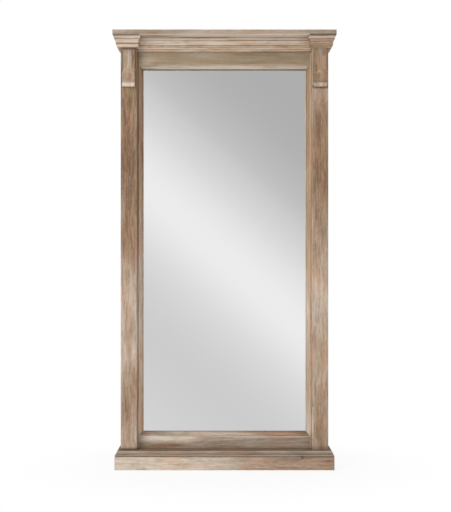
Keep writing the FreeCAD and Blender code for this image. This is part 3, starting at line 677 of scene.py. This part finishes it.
def worn_strip(
        node, corners, length, ends, where, material, wash, touches=(), ease=None, reshape=None,
        upright=False):
    """A board or moulding that stands for a CAD node: an outline drawn along a line, with worn edges.
    The wash, in places painted light and painted shade, is given in even steps along it. The grain of an
    upright one runs up."""
    wear = bpy.context.scene.floor_mirror_wear
    draw = random.Random(node)
    grain_offset = Vector((draw.uniform(0, 9), draw.uniform(-0.07, 0.07), draw.uniform(-0.07, 0.07)))
    spot_offset = Vector([draw.uniform(0, 50) for _ in range(3)])
    ease = wear.ease / MM if ease is None else ease
    outline = fine_outline(corners, ease)
    normals = outline_normals(outline)
    start_shift, end_shift = END_SHIFT[ends[0]], -END_SHIFT[ends[1]]
    points, grain = [], []
    marks = {"edge": [], "crevice": [], "wash": []}
    drawn = sections(length, ends, ease, wear.spacing / MM)
    for distance, inset, gap in drawn:
        share = distance / length
        shift = start_shift * (1 - share) + end_shift * share
        level = level_along(wash, share)
        seam = max(0, CREVICE_GLAZE_AND_SHADE - gap / SEAM_FADE)
        for (place, edge, crevice), normal in zip(outline, normals):
            x = distance + shift * place.x
            more, glaze, worn = touched(touches, x, place)
            if place.x > BACK:
                world = where @ Vector((x, -place.x, place.y))
                worn += worn_depth(wear, world, edge, gap, spot_offset)
            shaped = reshape(share, place) if reshape else place
            moved = shaped - normal * (inset + worn)
            points.append((where @ Vector((x, -moved.x, moved.y))) * MM)
            lengthwise = (place.y, place.x, x) if upright else (x, place.x, place.y)
            grain.extend(Vector(lengthwise) * MM + grain_offset)
            marks["edge"].append(edge)
            marks["crevice"].append(max(crevice, seam, glaze))
            marks["wash"].append(level + more)
    mesh = bpy.data.meshes.new(f"{node}_worn")
    mesh.from_pydata(points, [], strip_faces(len(drawn), len(outline)))
    mesh.attributes.new("grain", "FLOAT_VECTOR", "POINT").data.foreach_set("vector", grain)
    for name, values in marks.items():
        mesh.attributes.new(name, "FLOAT", "POINT").data.foreach_set("value", values)
    stand_for(node, mesh, material)


def at(x, y, z, turn=STRAIGHT):
    """A place and a turn as one matrix."""
    return Matrix.Translation((x, y, z)) @ turn


def worn_column(node, side, material, wash, foot_darkening, darkening_height, painted_head_shadow, more=()):
    """A column that is darker below a height over the ledge, with a painted shadow under the foot of its
    bracket.
    """
    middle = COLUMN_WIDTH / 2
    bracket_foot = cad_corners("left_bracket")[0].z
    # Painted shadow cast by the bracket's foot, and a darkening towards the ledge
    touches = [
        Touch(COLUMN_DEPTH - 1, COLUMN_WIDTH - 1, 6, wash=0.12),
        Touch(COLUMN_DEPTH, middle, 60, glaze=painted_head_shadow, start=bracket_foot - 6, end=bracket_foot + 6),
        *more]
    for share, rise in ((1, 1), (0.6, 1.5), (0.3, 2)):
        touches.append(
            Touch(COLUMN_DEPTH, middle, 100, glaze=share * foot_darkening, end=LEDGE + rise * darkening_height))
    worn_strip(
        node, COLUMN, COLUMN_HEAD, SQUARE_ENDS, at(side, FRAME_FACE, 0, UPRIGHT), material, wash, touches)


class FLOOR_MIRROR_OT_columns(Operator):
    """Build the two columns"""

    bl_idname = "floor_mirror.columns"
    bl_label = "Columns"

    def execute(self, context):
        material = worn_pine("column_pine", ("film", 0.05), mottle=0.8)
        worn_column(
            "left_pilaster", -COLUMN_INNER, material, (0.62, 0.3, 0.68, 0.56, -0.06, -0.4, -0.16, 0.0),
            foot_darkening=0.95, darkening_height=7, painted_head_shadow=0.35)
        pale_edge = Touch(COLUMN_DEPTH - 6, COLUMN_WIDTH, 13, wash=0.4, start=LEDGE + 50, end=LEDGE + 200)
        pale_foot = Touch(COLUMN_DEPTH, COLUMN_WIDTH - 8, 18, wash=0.2, end=LEDGE + 50)
        worn_column(
            "right_pilaster", COLUMN_OUTER, material, (0.06, 0.38, 0.54, 0.66, 0.42, -0.06, 0.36, 0.3),
            foot_darkening=0.45, darkening_height=12, painted_head_shadow=0.7, more=(pale_edge, pale_foot))
        return {"FINISHED"}


def arched_roll(share, place):
    """Raise the top of a bracket's roll towards the middle."""
    nearness = faded(1, abs(place.y - ROLL_TOP), ARCH_REACH)
    return Vector((place.x, place.y - ARCH_RISE * nearness * (2 * share - 1) ** 2))


def worn_bracket(node, material, wash, foot_wash_and_highlight, painted_head_shadow, more=()):
    """A carved bracket with a pale foot, partly wash and partly painted highlight, a painted shadow of the
    crown at its head, painted shade under its roll and a painted highlight on the roll's top.
    """
    low, high = cad_corners(node)
    # Pale foot in part painted highlight, painted shadow at the head under the crown, painted shade under
    # the roll, painted highlight on the roll's top
    touches = [
        Touch(BRACKET_FLAT + 2.5, BRACKET_FOOT / 2, 18, wash=foot_wash_and_highlight),
        Touch(BRACKET_FLAT, BRACKET_HEIGHT, 14, glaze=painted_head_shadow),
        Touch(ROLL_BACK + 3, BRACKET_FOOT + 3, 12, glaze=0.3),
        Touch(BRACKET_FLAT + 5.5, ROLL_TOP - 6, 18, wash=0.14),
        *more]
    worn_strip(
        node, BRACKET, high.x - low.x, SQUARE_ENDS, at(low.x, COLUMN_FACE, low.z), material, (wash, wash),
        touches, reshape=arched_roll, upright=True)


class FLOOR_MIRROR_OT_brackets(Operator):
    """Build the carved brackets on the column heads"""

    bl_idname = "floor_mirror.brackets"
    bl_label = "Brackets"

    def execute(self, context):
        material = worn_pine("bracket_pine", ("film", 0.05), mottle=0.9)
        blotches = (
            Touch(BRACKET_FLAT, ROLL_TOP + 7, 26, wash=-0.55, start=4, end=17),
            Touch(BRACKET_FLAT, ROLL_TOP + 45, 34, wash=0.2, start=30),
            Touch(BRACKET_FLAT, ROLL_TOP + 75, 18, wash=-0.5, start=34, end=50),
            Touch(BRACKET_FLAT + 3.5, ROLL_TOP - 30, 20, wash=-0.3, end=30))
        worn_bracket("left_bracket", material, wash=0.28, foot_wash_and_highlight=0.95, painted_head_shadow=0.8)
        worn_bracket("right_bracket", material, wash=0.13, foot_wash_and_highlight=0.5, painted_head_shadow=0.4, more=blotches)
        return {"FINISHED"}


class FLOOR_MIRROR_OT_crown(Operator):
    """Build the cornice, the capitals and the bead strip"""

    bl_idname = "floor_mirror.crown"
    bl_label = "Crown"

    def execute(self, context):
        material = worn_pine("crown_pine", ("ochre", 0.12))
        # Painted light and shade on the crown: glaze under the cap, under the fillet, in the groove and at
        # the band's foot is painted shadow, and on the middle run the wash at the band's foot is painted
        # light that lifts the shade of the seam above the bead
        on_fillet = Touch(CROWN_REACH, FILLET_FOOT + 4, 8, wash=0.35)
        over_cove = Touch(COVE_HEAD + 0.5, FILLET_FOOT - 0.5, 5, glaze=0.5)
        middle_touches = (
            on_fillet,
            over_cove,
            Touch(CROWN_REACH, CROWN_HEIGHT - 1.5, 10, glaze=0.4),
            Touch(CROWN_REACH, CROWN_HEIGHT, 8, glaze=0.7, start=200, end=430),
            Touch(CROWN_REACH, FILLET_FOOT + 3, 7, wash=0.5, end=430),
            Touch(COVE_HEAD, FILLET_FOOT - 1, 4.5, glaze=0.7, start=430),
            Touch(BAND_HEAD + 3, COVE_FOOT + 5, 7, wash=0.35),
            Touch(BAND_HEAD, GROOVE_TOP - 1, 7, glaze=0.1),
            Touch(BAND_HEAD - 2, BAND_TOP - 6, 12, wash=-0.3),
            Touch(BAND_FOOT, 0, 6, wash=0.5))
        left_touches = (
            on_fillet,
            over_cove,
            Touch(CROWN_REACH, CROWN_HEIGHT, 8, glaze=0.5),
            Touch(BAND_HEAD, GROOVE_TOP - 1, 6, glaze=0.6),
            Touch(BAND_FOOT + 3, 6, 9, wash=0.4),
            Touch(BAND_FOOT, 0, 5, glaze=0.5))
        right_touches = (
            on_fillet,
            over_cove,
            Touch(CROWN_REACH, CROWN_HEIGHT, 6, glaze=0.6),
            Touch(BAND_HEAD, BAND_TOP - 1, 8, glaze=0.35),
            Touch(BAND_FOOT + 3, 6, 10, wash=-0.5),
            Touch(BAND_FOOT, 0, 5, glaze=0.2))
        left_wash, right_wash = (0.76, 0.76), (0.46, 0.46)
        capital_width = COLUMN_OUTER - CAPITAL_INNER
        out, back = "outside", "inside"
        runs = (
            ("cornice", 2 * CAPITAL_INNER, (back, back), (-CAPITAL_INNER, FRAME_FACE), STRAIGHT,
             (0.95, 0.7, 0.82), middle_touches),
            ("left_capital_front", capital_width, (out, out), (-COLUMN_OUTER, COLUMN_FACE), STRAIGHT,
             left_wash, left_touches),
            ("left_capital_outer", SIDE_LENGTH, ("square", out), (-COLUMN_OUTER, WALL), FACING_LEFT,
             left_wash, left_touches),
            ("left_capital_inner", COLUMN_DEPTH, (out, back), (-CAPITAL_INNER, COLUMN_FACE), FACING_RIGHT,
             left_wash, left_touches),
            ("right_capital_front", capital_width, (out, out), (CAPITAL_INNER, COLUMN_FACE), STRAIGHT,
             right_wash, right_touches),
            # The outer side of the right capital faces away from the lamp; its low wash is painted shade
            ("right_capital_outer", SIDE_LENGTH, (out, "square"), (COLUMN_OUTER, COLUMN_FACE), FACING_RIGHT,
             (-0.1, 0.1), right_touches),
            ("right_capital_inner", COLUMN_DEPTH, (back, out), (CAPITAL_INNER, FRAME_FACE), FACING_LEFT,
             right_wash, right_touches),
        )
        for node, length, ends, place, turn, wash, touches in runs:
            worn_strip(node, CROWN, length, ends, at(*place, CROWN_FOOT, turn), material, wash, touches)

        bead_foot = cad_corners("frieze_bead")[0].z
        # The wash on the bead's top is painted light that lifts the shade of the seam under the crown
        bead_touches = (
            Touch(BEAD_FLAT + 1.5, BEAD_HEIGHT - 1, 7, wash=0.7),
            Touch(BEAD_REACH - 2, 2, 8, wash=-0.05),
            Touch(BEAD_REACH - 1, 2, 7, wash=-0.2, start=400))
        worn_strip(
            "frieze_bead", BEAD, 2 * COLUMN_INNER, SQUARE_ENDS,
            at(-COLUMN_INNER, FRAME_FACE, bead_foot), material, (0.62, 0.5), bead_touches)
        return {"FINISHED"}


class FLOOR_MIRROR_OT_cap(Operator):
    """Build the cap board"""

    bl_idname = "floor_mirror.cap"
    bl_label = "Cap"

    def execute(self, context):
        low, high = cad_corners("top_cap")
        width, depth, _ = high - low
        soffit_start = width / 2 - CAPITAL_INNER + CROWN_REACH
        soffit_end = width - soffit_start
        # Painted light on the underside of the cap between the capitals, more on the left half, and painted
        # shadow along the cap's lower edge over each capital
        touches = (
            Touch(depth - 24, 0, 60, wash=0.8, start=soffit_start, end=soffit_end, top=0.2),
            Touch(depth - 24, 0, 60, wash=0.2, start=soffit_start, end=width / 2, top=0.2),
            Touch(depth, 0, 5, glaze=0.75, end=soffit_start),
            Touch(depth, 0, 7, glaze=1.0, start=soffit_end))
        worn_strip(
            "top_cap", CAP, width, SQUARE_ENDS, at(low.x, WALL, low.z),
            worn_pine("cap_pine", ("film", 0.48)), (0.7, 0.26, 0.9, 0.9, 0.95, 0.45), touches, ease=1.8)
        return {"FINISHED"}


class FLOOR_MIRROR_OT_sight(Operator):
    """Build the moulding round the glass"""

    bl_idname = "floor_mirror.sight"
    bl_label = "Sight moulding"

    def execute(self, context):
        pale = worn_pine("sight_pine", ("film", 0.06), mottle=1.2)
        yellowed = worn_pine("yellowed_pine", ("ochre", 0.52), mottle=1.3)
        reddish = worn_pine("reddish_pine", ("rose", 0.2), mottle=1.3)
        width = 2 * OPENING_SIDE
        height = OPENING_HEAD - OPENING_FOOT
        # At the glass, the lip's glaze on the top, bottom and left mouldings is painted shade, and the lip's
        # wash on the right moulding is a painted highlight
        lip = Touch(SIGHT_WIDTH, SIGHT_DEPTH - 3, 9)
        pale_shoulder = Touch(1, 0, 5, wash=0.4)
        pale_slope = Touch(SIGHT_WIDTH - SIGHT_LIP, SIGHT_DEPTH - SIGHT_LIP, 40, wash=0.5)
        runs = (
            ("sight_moulding_bottom", 0, (-OPENING_SIDE, OPENING_FOOT), width, pale,
             (0.58, 0.85, 0.5, 0.3), (lip._replace(glaze=0.5), pale_shoulder)),
            ("sight_moulding_top", 180, (OPENING_SIDE, OPENING_HEAD), width, yellowed,
             (0.95, 1.25, 1.15, 1.0), (lip._replace(glaze=0.8), pale_slope)),
            ("sight_moulding_left", 90, (-OPENING_SIDE, OPENING_HEAD), height, reddish,
             (0.05, 0.15, 0.42, 0.9, 1.45, 1.15, 0.95), (lip._replace(glaze=0.25),)),
            ("sight_moulding_right", -90, (OPENING_SIDE, OPENING_FOOT), height, yellowed,
             (1.7, 0.68, 1.5, 0.55, 0.36, -0.06, -0.04), (lip._replace(wash=0.6),)),
        )
        for node, angle, (x, z), length, material, wash, touches in runs:
            turn = Matrix.Rotation(math.radians(angle), 4, "Y") @ LYING
            worn_strip(
                node, SIGHT, length, ("inside", "inside"), at(x, FRAME_FACE, z, turn), material, wash,
                touches, ease=0.8)
        return {"FINISHED"}


class FLOOR_MIRROR_OT_base(Operator):
    """Build the plinth and the moulding on it"""

    bl_idname = "floor_mirror.base"
    bl_label = "Base"

    def execute(self, context):
        plinth_material = worn_pine("plinth_pine", ("film", 0.02), mottle=0.65)
        base_material = worn_pine("base_pine", ("film", 0.32))
        _, plinth_depth, plinth_height = cad_size("plinth_front")
        joint = Touch(plinth_depth, plinth_height, 5, glaze=0.75)
        knock = Touch(plinth_depth, plinth_height - 1, 8, glaze=1.0, chip=2.5, start=820, end=834)
        # Glaze at the joint with the plinth and along the top of the base, and painted shade in the cove
        # under the step
        base_touches = (
            Touch(BASE_REACH, 0, 5, glaze=0.7),
            Touch(BASE_REACH, BASE_FILLET - 1.5, 6, glaze=0.45),
            Touch(BASE_REACH - 3, BASE_FILLET + 3.5, 10, glaze=0.28),
            Touch(BASE_COVE_BACK + 1, BASE_COVE_TOP - 1.5, 5, glaze=0.5),
            Touch(BASE_BEAD_FOOT + 0.5, BASE_COVE_TOP + 4, 7, wash=0.35),
            Touch(BASE_BEAD_HEAD - 3, BASE_HEIGHT + 3, 9.5, glaze=0.8),
            Touch(0, BASE_HEIGHT, 8, glaze=0.8))
        runs = (
            ("front", 2 * COLUMN_OUTER, ("outside", "outside"), (-COLUMN_OUTER, COLUMN_FACE), STRAIGHT,
             (0.98, 1.14, 0.88, 0.52, 0.4, 0.24), (joint, knock)),
            ("left", SIDE_LENGTH, ("square", "outside"), (-COLUMN_OUTER, WALL), FACING_LEFT,
             (0.7, 0.9), (joint,)),
            ("right", SIDE_LENGTH, ("outside", "square"), (COLUMN_OUTER, COLUMN_FACE), FACING_RIGHT,
             (0.25, 0.4), (joint,)),
        )
        for name, length, ends, place, turn, plinth_wash, plinth_touches in runs:
            worn_strip(
                f"plinth_{name}", PLINTH, length, ends, at(*place, 0, turn), plinth_material, plinth_wash,
                plinth_touches, ease=1.6)
            worn_strip(
                f"base_moulding_{name}", BASE, length, ends, at(*place, plinth_height, turn), base_material,
                (0.26, 0.22, 0.26, 0.18), base_touches)
        return {"FINISHED"}


class FLOOR_MIRROR_OT_frame(Operator):
    """Finish the stiles, the rails, the ledge and the hidden blocks"""

    bl_idname = "floor_mirror.frame"
    bl_label = "Frame"

    def execute(self, context):
        left_stile = frame_pine(
            "left_stile_pine", along="z", wash=0.05, film=("film", 0.0),
            # The dark line beside the column is the column's painted shadow on the stile
            lines=[DarkLine("x", -COLUMN_INNER, width=10, depth=0.5)],
            patches=[Patch(-394, 560, 40, 700, 0.6), Patch(-397, 150, 40, 100, 0.4)])
        right_stile = frame_pine(
            "right_stile_pine", along="z", wash=0.7, film=("ochre", 0.25),
            # The patch near the column's foot is painted light that lifts the shade in the corner beside the
            # column
            patches=[Patch(397, 200, 40, 70, 0.9)])
        frieze = frame_pine(
            "frieze_pine", along="x", wash=0.24, film=("moss", 0.55),
            patches=[
                Patch(-350, 1880, 50, 30, 0.35), Patch(-385, 1862, 50, 16, 0.5),
                # This dark patch under the bead is its painted shadow
                Patch(200, 1904, 240, 12, -0.9)])
        bottom_rail = frame_pine(
            "bottom_rail_pine", along="x", wash=0.5, film=("film", 0.35),
            lines=[DarkLine("z", LEDGE, width=50, depth=0.2)],
            patches=[
                Patch(-330, 130, 100, 26, 0.85), Patch(-200, 128, 110, 24, 0.8),
                Patch(-290, 97, 110, 12, -0.3), Patch(-160, 138, 340, 24, 0.35),
                Patch(220, 141, 240, 8, 0.6)])
        dress(left_stile, "left_stile")
        dress(right_stile, "right_stile")
        dress(frieze, "top_rail")
        dress(bottom_rail, "bottom_rail")

        ledge_pine, recipe = new_material("ledge_pine")
        washed_surface(recipe, recipe.place(), wash=0.3, edge=0.0, crevice=0.5, film=("film", 0.4))
        dress(ledge_pine, "base_sill")

        raw_pine, recipe = new_material("raw_pine")
        washed_surface(
            recipe, recipe.place(), wash=0.2, edge=0.0, crevice=0.0, film=("film", 0.0), bare=1.0)
        dress(raw_pine, "plinth_blocks", "cap_dowels", "bracket_dowels")
        return {"FINISHED"}


# Marks of the press screen on the fibreboard, in radians per metre
SCREEN_TURNS = 3600


class FLOOR_MIRROR_OT_glass(Operator):
    """Finish the mirror glass, its spacers and the backing board"""

    bl_idname = "floor_mirror.glass"
    bl_label = "Glass and backing"

    def execute(self, context):
        silver, recipe = new_material("silvered_glass")
        haze = recipe.even_noise(3, detail=3.0)
        recipe.surface(
            Base_Color=recipe.mix(haze, (0.945, 0.945, 0.945), (0.955, 0.955, 0.955)), Metallic=1.0,
            Roughness=0.012 + haze * 0.02)
        dress(silver, "mirror_glass")

        board, recipe = new_material("fibreboard")
        speck = recipe.even_noise(420, detail=3.0, roughness=0.7)
        cloud = recipe.even_noise(6, detail=3.0)
        x, _, z = recipe.position()
        screen = (x * SCREEN_TURNS).math("SINE") * (z * SCREEN_TURNS).math("SINE")
        colour = recipe.mix(speck, tint(112, 80, 52), tint(160, 122, 84))
        colour = recipe.mix(recipe.smooth(cloud, 0.4, 0.7) * 0.35, colour, tint(96, 68, 46))
        recipe.surface(
            Base_Color=colour, Roughness=0.6 + speck * 0.25, Specular_IOR_Level=0.3,
            Normal=recipe.bump(speck * 0.6 + screen * 0.25, strength=0.4, distance=0.0004))
        dress(board, "backing_board")

        rubber, recipe = new_material("spacer_rubber")
        grit = recipe.even_noise(900)
        recipe.surface(
            Base_Color=recipe.mix(grit, (0.02, 0.02, 0.02), (0.06, 0.06, 0.06)), Roughness=0.7 + grit * 0.2,
            Normal=recipe.bump(grit, strength=0.3, distance=0.0002))
        dress(rubber, "glass_spacers")
        return {"FINISHED"}


# Screws in millimetres: head and shank as diameters, the room each has to itself and the rim of its head
SCREW_SIZES = {"pilaster_screws": (9, 5), "backing_screws": (7, 3.5), "hanger_screws": (7, 4)}
SCREW_ROOM = 15
HEAD_RIM = 0.3
SCREW_SIDES = 48

# The cross recess of a screw, as shares of the radius of its head
CROSS_ARM, CROSS_HALF_WIDTH, CROSS_DEPTH = 0.55, 0.15, 0.4


def screw_places(node):
    """The axis (x, z), the head and the tip (y) of each screw of a CAD node, in millimetres."""
    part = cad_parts[node]
    screws = []
    for vertex in part.data.vertices:
        spot = part.matrix_world @ vertex.co / MM
        for spots in screws:
            if math.hypot(spot.x - spots[0].x, spot.z - spots[0].z) < SCREW_ROOM:
                spots.append(spot)
                break
        else:
            screws.append([spot])
    places = []
    for spots in screws:
        (left, right), (tip, head), (low, high) = ((min(along), max(along)) for along in zip(*spots))
        places.append(((left + right) / 2, (low + high) / 2, head, tip))
    return places


def cross_reach(angle, arm, half_width):
    """From the middle of a cross to its outline."""
    turned = abs((angle + math.pi / 4) % (math.pi / 2) - math.pi / 4)
    return min(arm / math.cos(turned), half_width / max(math.sin(turned), 0.01))


def crosshead_screws(node, head, shank, material):
    """Countersunk screws with a cross recess for a CAD node, each turned by chance."""
    draw = random.Random(node)
    radius, core = head / 2, shank / 2
    angles = [2 * math.pi * side / SCREW_SIDES for side in range(SCREW_SIDES)]
    cross = [cross_reach(angle, CROSS_ARM * radius, CROSS_HALF_WIDTH * radius) for angle in angles]
    points, faces = [], []
    for x, z, face, tip in screw_places(node):
        turn = draw.uniform(0, math.pi / 2)
        rings = [([0.5 * reach for reach in cross], 0.35 * radius), (cross, 0.1)]
        for reach, depth in (
                (0.8 * radius, 0.0), (0.96 * radius, 0.06), (radius, HEAD_RIM),
                (core, HEAD_RIM + radius - core), (core, face - tip - core)):
            rings.append(([reach] * SCREW_SIDES, depth))
        first = len(points)
        points.append((x, face - CROSS_DEPTH * radius, z))
        for reaches, depth in rings:
            for reach, angle in zip(reaches, angles):
                around = angle + turn
                points.append((x + reach * math.cos(around), face - depth, z + reach * math.sin(around)))
        last = len(points)
        points.append((x, tip, z))
        for side in range(SCREW_SIDES):
            following = (side + 1) % SCREW_SIDES
            faces.append((first, first + 1 + following, first + 1 + side))
            for ring in range(len(rings) - 1):
                inner = first + 1 + ring * SCREW_SIDES
                outer = inner + SCREW_SIDES
                faces.append((inner + side, inner + following, outer + following, outer + side))
            rim = last - SCREW_SIDES
            faces.append((rim + side, rim + following, last))
    mesh = bpy.data.meshes.new(f"{node}_crosshead")
    mesh.from_pydata([Vector(point) * MM for point in points], [], faces)
    stand_for(node, mesh, material)


class FLOOR_MIRROR_OT_hardware(Operator):
    """Finish the screws, the nails and the hangers"""

    bl_idname = "floor_mirror.hardware"
    bl_label = "Hardware"

    def execute(self, context):
        zinc, recipe = new_material("zinc_plated_steel")
        spangle = recipe.even_noise(260, detail=3.0, roughness=0.6)
        rubbed = recipe.even_noise(60, detail=3.0, roughness=0.7)
        colour = recipe.mix(spangle, tint(168, 167, 162), tint(205, 204, 198))
        colour = recipe.mix(recipe.smooth(rubbed, 0.55, 0.75) * 0.5, colour, tint(140, 128, 108))
        recipe.surface(
            Base_Color=colour, Metallic=1.0, Roughness=0.3 + rubbed * 0.3,
            Normal=recipe.bump(spangle, strength=0.15, distance=0.0002))
        dress(zinc, "left_hanger_strap", "right_hanger_strap", "left_hanger_ring", "right_hanger_ring")
        for node, (head, shank) in SCREW_SIZES.items():
            dress(zinc, node)
            crosshead_screws(node, head, shank, zinc)

        nail, recipe = new_material("washed_nail_head")
        smear = recipe.even_noise(300, detail=3.0)
        recipe.surface(
            Base_Color=recipe.mix(smear, tint(120, 96, 76), tint(190, 170, 148)), Metallic=0.2,
            Roughness=0.6 + smear * 0.2)
        dress(nail, "plinth_nails")
        return {"FINISHED"}


# Places and sizes of the studio, in metres
FLOOR_HALF = 7
CARD_PLACE = (0, -4.9, 1)
CARD_HALF_WIDTH, CARD_HALF_HEIGHT = 9, 7
KEY_PLACE = (-2.6, -3.2, 2.6)
KEY_AIM = (0, 0, 1.1)
KEY_SIZE = 2.4

# Greys of the card along a slanting line from lower left to upper right, as far as the glass shows it
CARD_REACH = 2.6
CARD_SLANT = 0.89
CARD_STOPS = (
    (0.0, 212), (0.24, 204), (0.38, 219), (0.49, 235), (0.60, 221), (0.70, 197), (0.80, 179), (1.0, 172))


def flat_sheet(name, half_width, half_length, where, material):
    """A flat sheet of the studio, in metres."""
    signs = ((-1, -1), (1, -1), (1, 1), (-1, 1))
    points = [where @ Vector((x * half_width, y * half_length, 0)) for x, y in signs]
    mesh = bpy.data.meshes.new(name)
    mesh.from_pydata(points, [], [(0, 1, 2, 3)])
    mesh.materials.append(material)
    sheet = bpy.data.objects.new(name, mesh)
    bpy.context.scene.collection.objects.link(sheet)
    return sheet


def light_world(scene, ambient):
    """White surroundings that light the mirror less brightly than they look."""
    scene.world = bpy.data.worlds.new("studio_world")
    recipe = Recipe(scene.world)
    path = recipe.node("ShaderNodeLightPath", output="Is Camera Ray")
    seen = path.math("MAXIMUM", path.out("Is Glossy Ray"))
    seen = seen.math("MAXIMUM", path.out("Is Transmission Ray"))
    strength = ambient + seen * (1 - ambient)
    light = recipe.node("ShaderNodeBackground", sockets={"Color": (1, 1, 1, 1), "Strength": strength})
    recipe.node("ShaderNodeOutputWorld", sockets={0: light})


def lay_floor():
    """White paper that glows towards the camera, so that the shadow on it stays faint."""
    paper, recipe = new_material("floor_paper")
    path = recipe.node("ShaderNodeLightPath", output="Is Camera Ray")
    fleck = recipe.even_noise(90)
    colour = recipe.mix(fleck, (0.93, 0.93, 0.93), (0.96, 0.96, 0.96))
    matt = recipe.node("ShaderNodeBsdfDiffuse", sockets={"Color": colour})
    glow = recipe.node("ShaderNodeEmission", sockets={"Color": (1, 1, 1, 1), "Strength": 1.0})
    away = recipe.length(recipe.scaled(recipe.place(), (1.0, 1.6, 1.0)))
    glow_share = path * (0.85 + recipe.smooth(away, 0.35, 1.2) * 0.15)
    mixed = recipe.node("ShaderNodeMixShader", sockets={0: glow_share, 1: matt, 2: glow})
    recipe.node("ShaderNodeOutputMaterial", sockets={0: mixed})
    floor = flat_sheet("studio_floor", FLOOR_HALF, FLOOR_HALF, STRAIGHT, paper)
    floor.visible_glossy = False


def stand_card(camera_place):
    """A card behind the camera, whose greys only the glass sees."""
    paint, recipe = new_material("card_paint")
    x, _, z = recipe.position()
    rise = z - camera_place[2] + (x - camera_place[0]) * CARD_SLANT
    greys = tuple((stop, tint(level, level, level)) for stop, level in CARD_STOPS)
    shade = recipe.node(
        "ShaderNodeValToRGB", {"stops": greys, "interpolation": "CARDINAL"},
        {0: (rise + CARD_REACH) / (2 * CARD_REACH)})
    glow = recipe.node("ShaderNodeEmission", sockets={"Color": shade, "Strength": 1.06})
    recipe.node("ShaderNodeOutputMaterial", sockets={0: glow})
    stand = at(*CARD_PLACE, Matrix.Rotation(math.radians(90), 4, "X"))
    card = flat_sheet("studio_card", CARD_HALF_WIDTH, CARD_HALF_HEIGHT, stand, paint)
    card.visible_camera = False
    card.visible_diffuse = False
    card.visible_shadow = False
    card.visible_transmission = False


def hang_lamp(scene, power):
    """A large soft lamp on the left, aimed at the middle of the mirror."""
    lamp = bpy.data.lights.new("soft_key", "AREA")
    lamp.energy = power
    lamp.size = KEY_SIZE
    key = bpy.data.objects.new("soft_key", lamp)
    key.location = KEY_PLACE
    key.rotation_euler = (Vector(KEY_AIM) - key.location).to_track_quat("-Z", "Y").to_euler()
    scene.collection.objects.link(key)


def place_camera(scene, lens, place):
    """A level camera that looks at the mirror's face."""
    eye = bpy.data.cameras.new("camera")
    eye.lens = lens
    eye.sensor_width = 36
    camera = bpy.data.objects.new("camera", eye)
    camera.location = place
    camera.rotation_euler = (math.radians(90), 0, 0)
    scene.collection.objects.link(camera)
    scene.camera = camera


class FLOOR_MIRROR_OT_stage(Operator):
    """Set the floor, the light, the card that the mirror sees and the camera"""

    bl_idname = "floor_mirror.stage"
    bl_label = "Studio"

    def execute(self, context):
        scene = context.scene
        studio = scene.floor_mirror_studio
        scene.view_settings.view_transform = "Standard"
        light_world(scene, studio.ambient)
        lay_floor()
        stand_card(studio.camera_place)
        hang_lamp(scene, studio.key)
        place_camera(scene, studio.lens, studio.camera_place)
        return {"FINISHED"}


OPERATORS = (
    FLOOR_MIRROR_OT_columns,
    FLOOR_MIRROR_OT_brackets,
    FLOOR_MIRROR_OT_crown,
    FLOOR_MIRROR_OT_cap,
    FLOOR_MIRROR_OT_sight,
    FLOOR_MIRROR_OT_base,
    FLOOR_MIRROR_OT_frame,
    FLOOR_MIRROR_OT_glass,
    FLOOR_MIRROR_OT_hardware,
    FLOOR_MIRROR_OT_stage,
)


class FLOOR_MIRROR_PT_panel(Panel):
    """Lists the pieces of the mirror and its settings"""

    bl_label = "Floor Mirror"
    bl_space_type = "VIEW_3D"
    bl_region_type = "UI"
    bl_category = "Floor Mirror"

    def draw(self, context):
        for operator in OPERATORS:
            self.layout.operator(operator.bl_idname)
        for settings in SETTINGS:
            group = getattr(context.scene, settings)
            for setting in group.bl_rna.properties.keys():
                if setting not in ("rna_type", "name"):
                    self.layout.prop(group, setting)


CLASSES = (*SETTINGS.values(), *OPERATORS, FLOOR_MIRROR_PT_panel)


def register():
    for added in CLASSES:
        bpy.utils.register_class(added)
    for name, group in SETTINGS.items():
        setattr(bpy.types.Scene, name, PointerProperty(type=group))


def unregister():
    for name in SETTINGS:
        delattr(bpy.types.Scene, name)
    for added in reversed(CLASSES):
        bpy.utils.unregister_class(added)


def main():
    register()
    for operator in OPERATORS:
        area, name = operator.bl_idname.split(".")
        getattr(getattr(bpy.ops, area), name)()


if __name__ == "__main__":
    main()
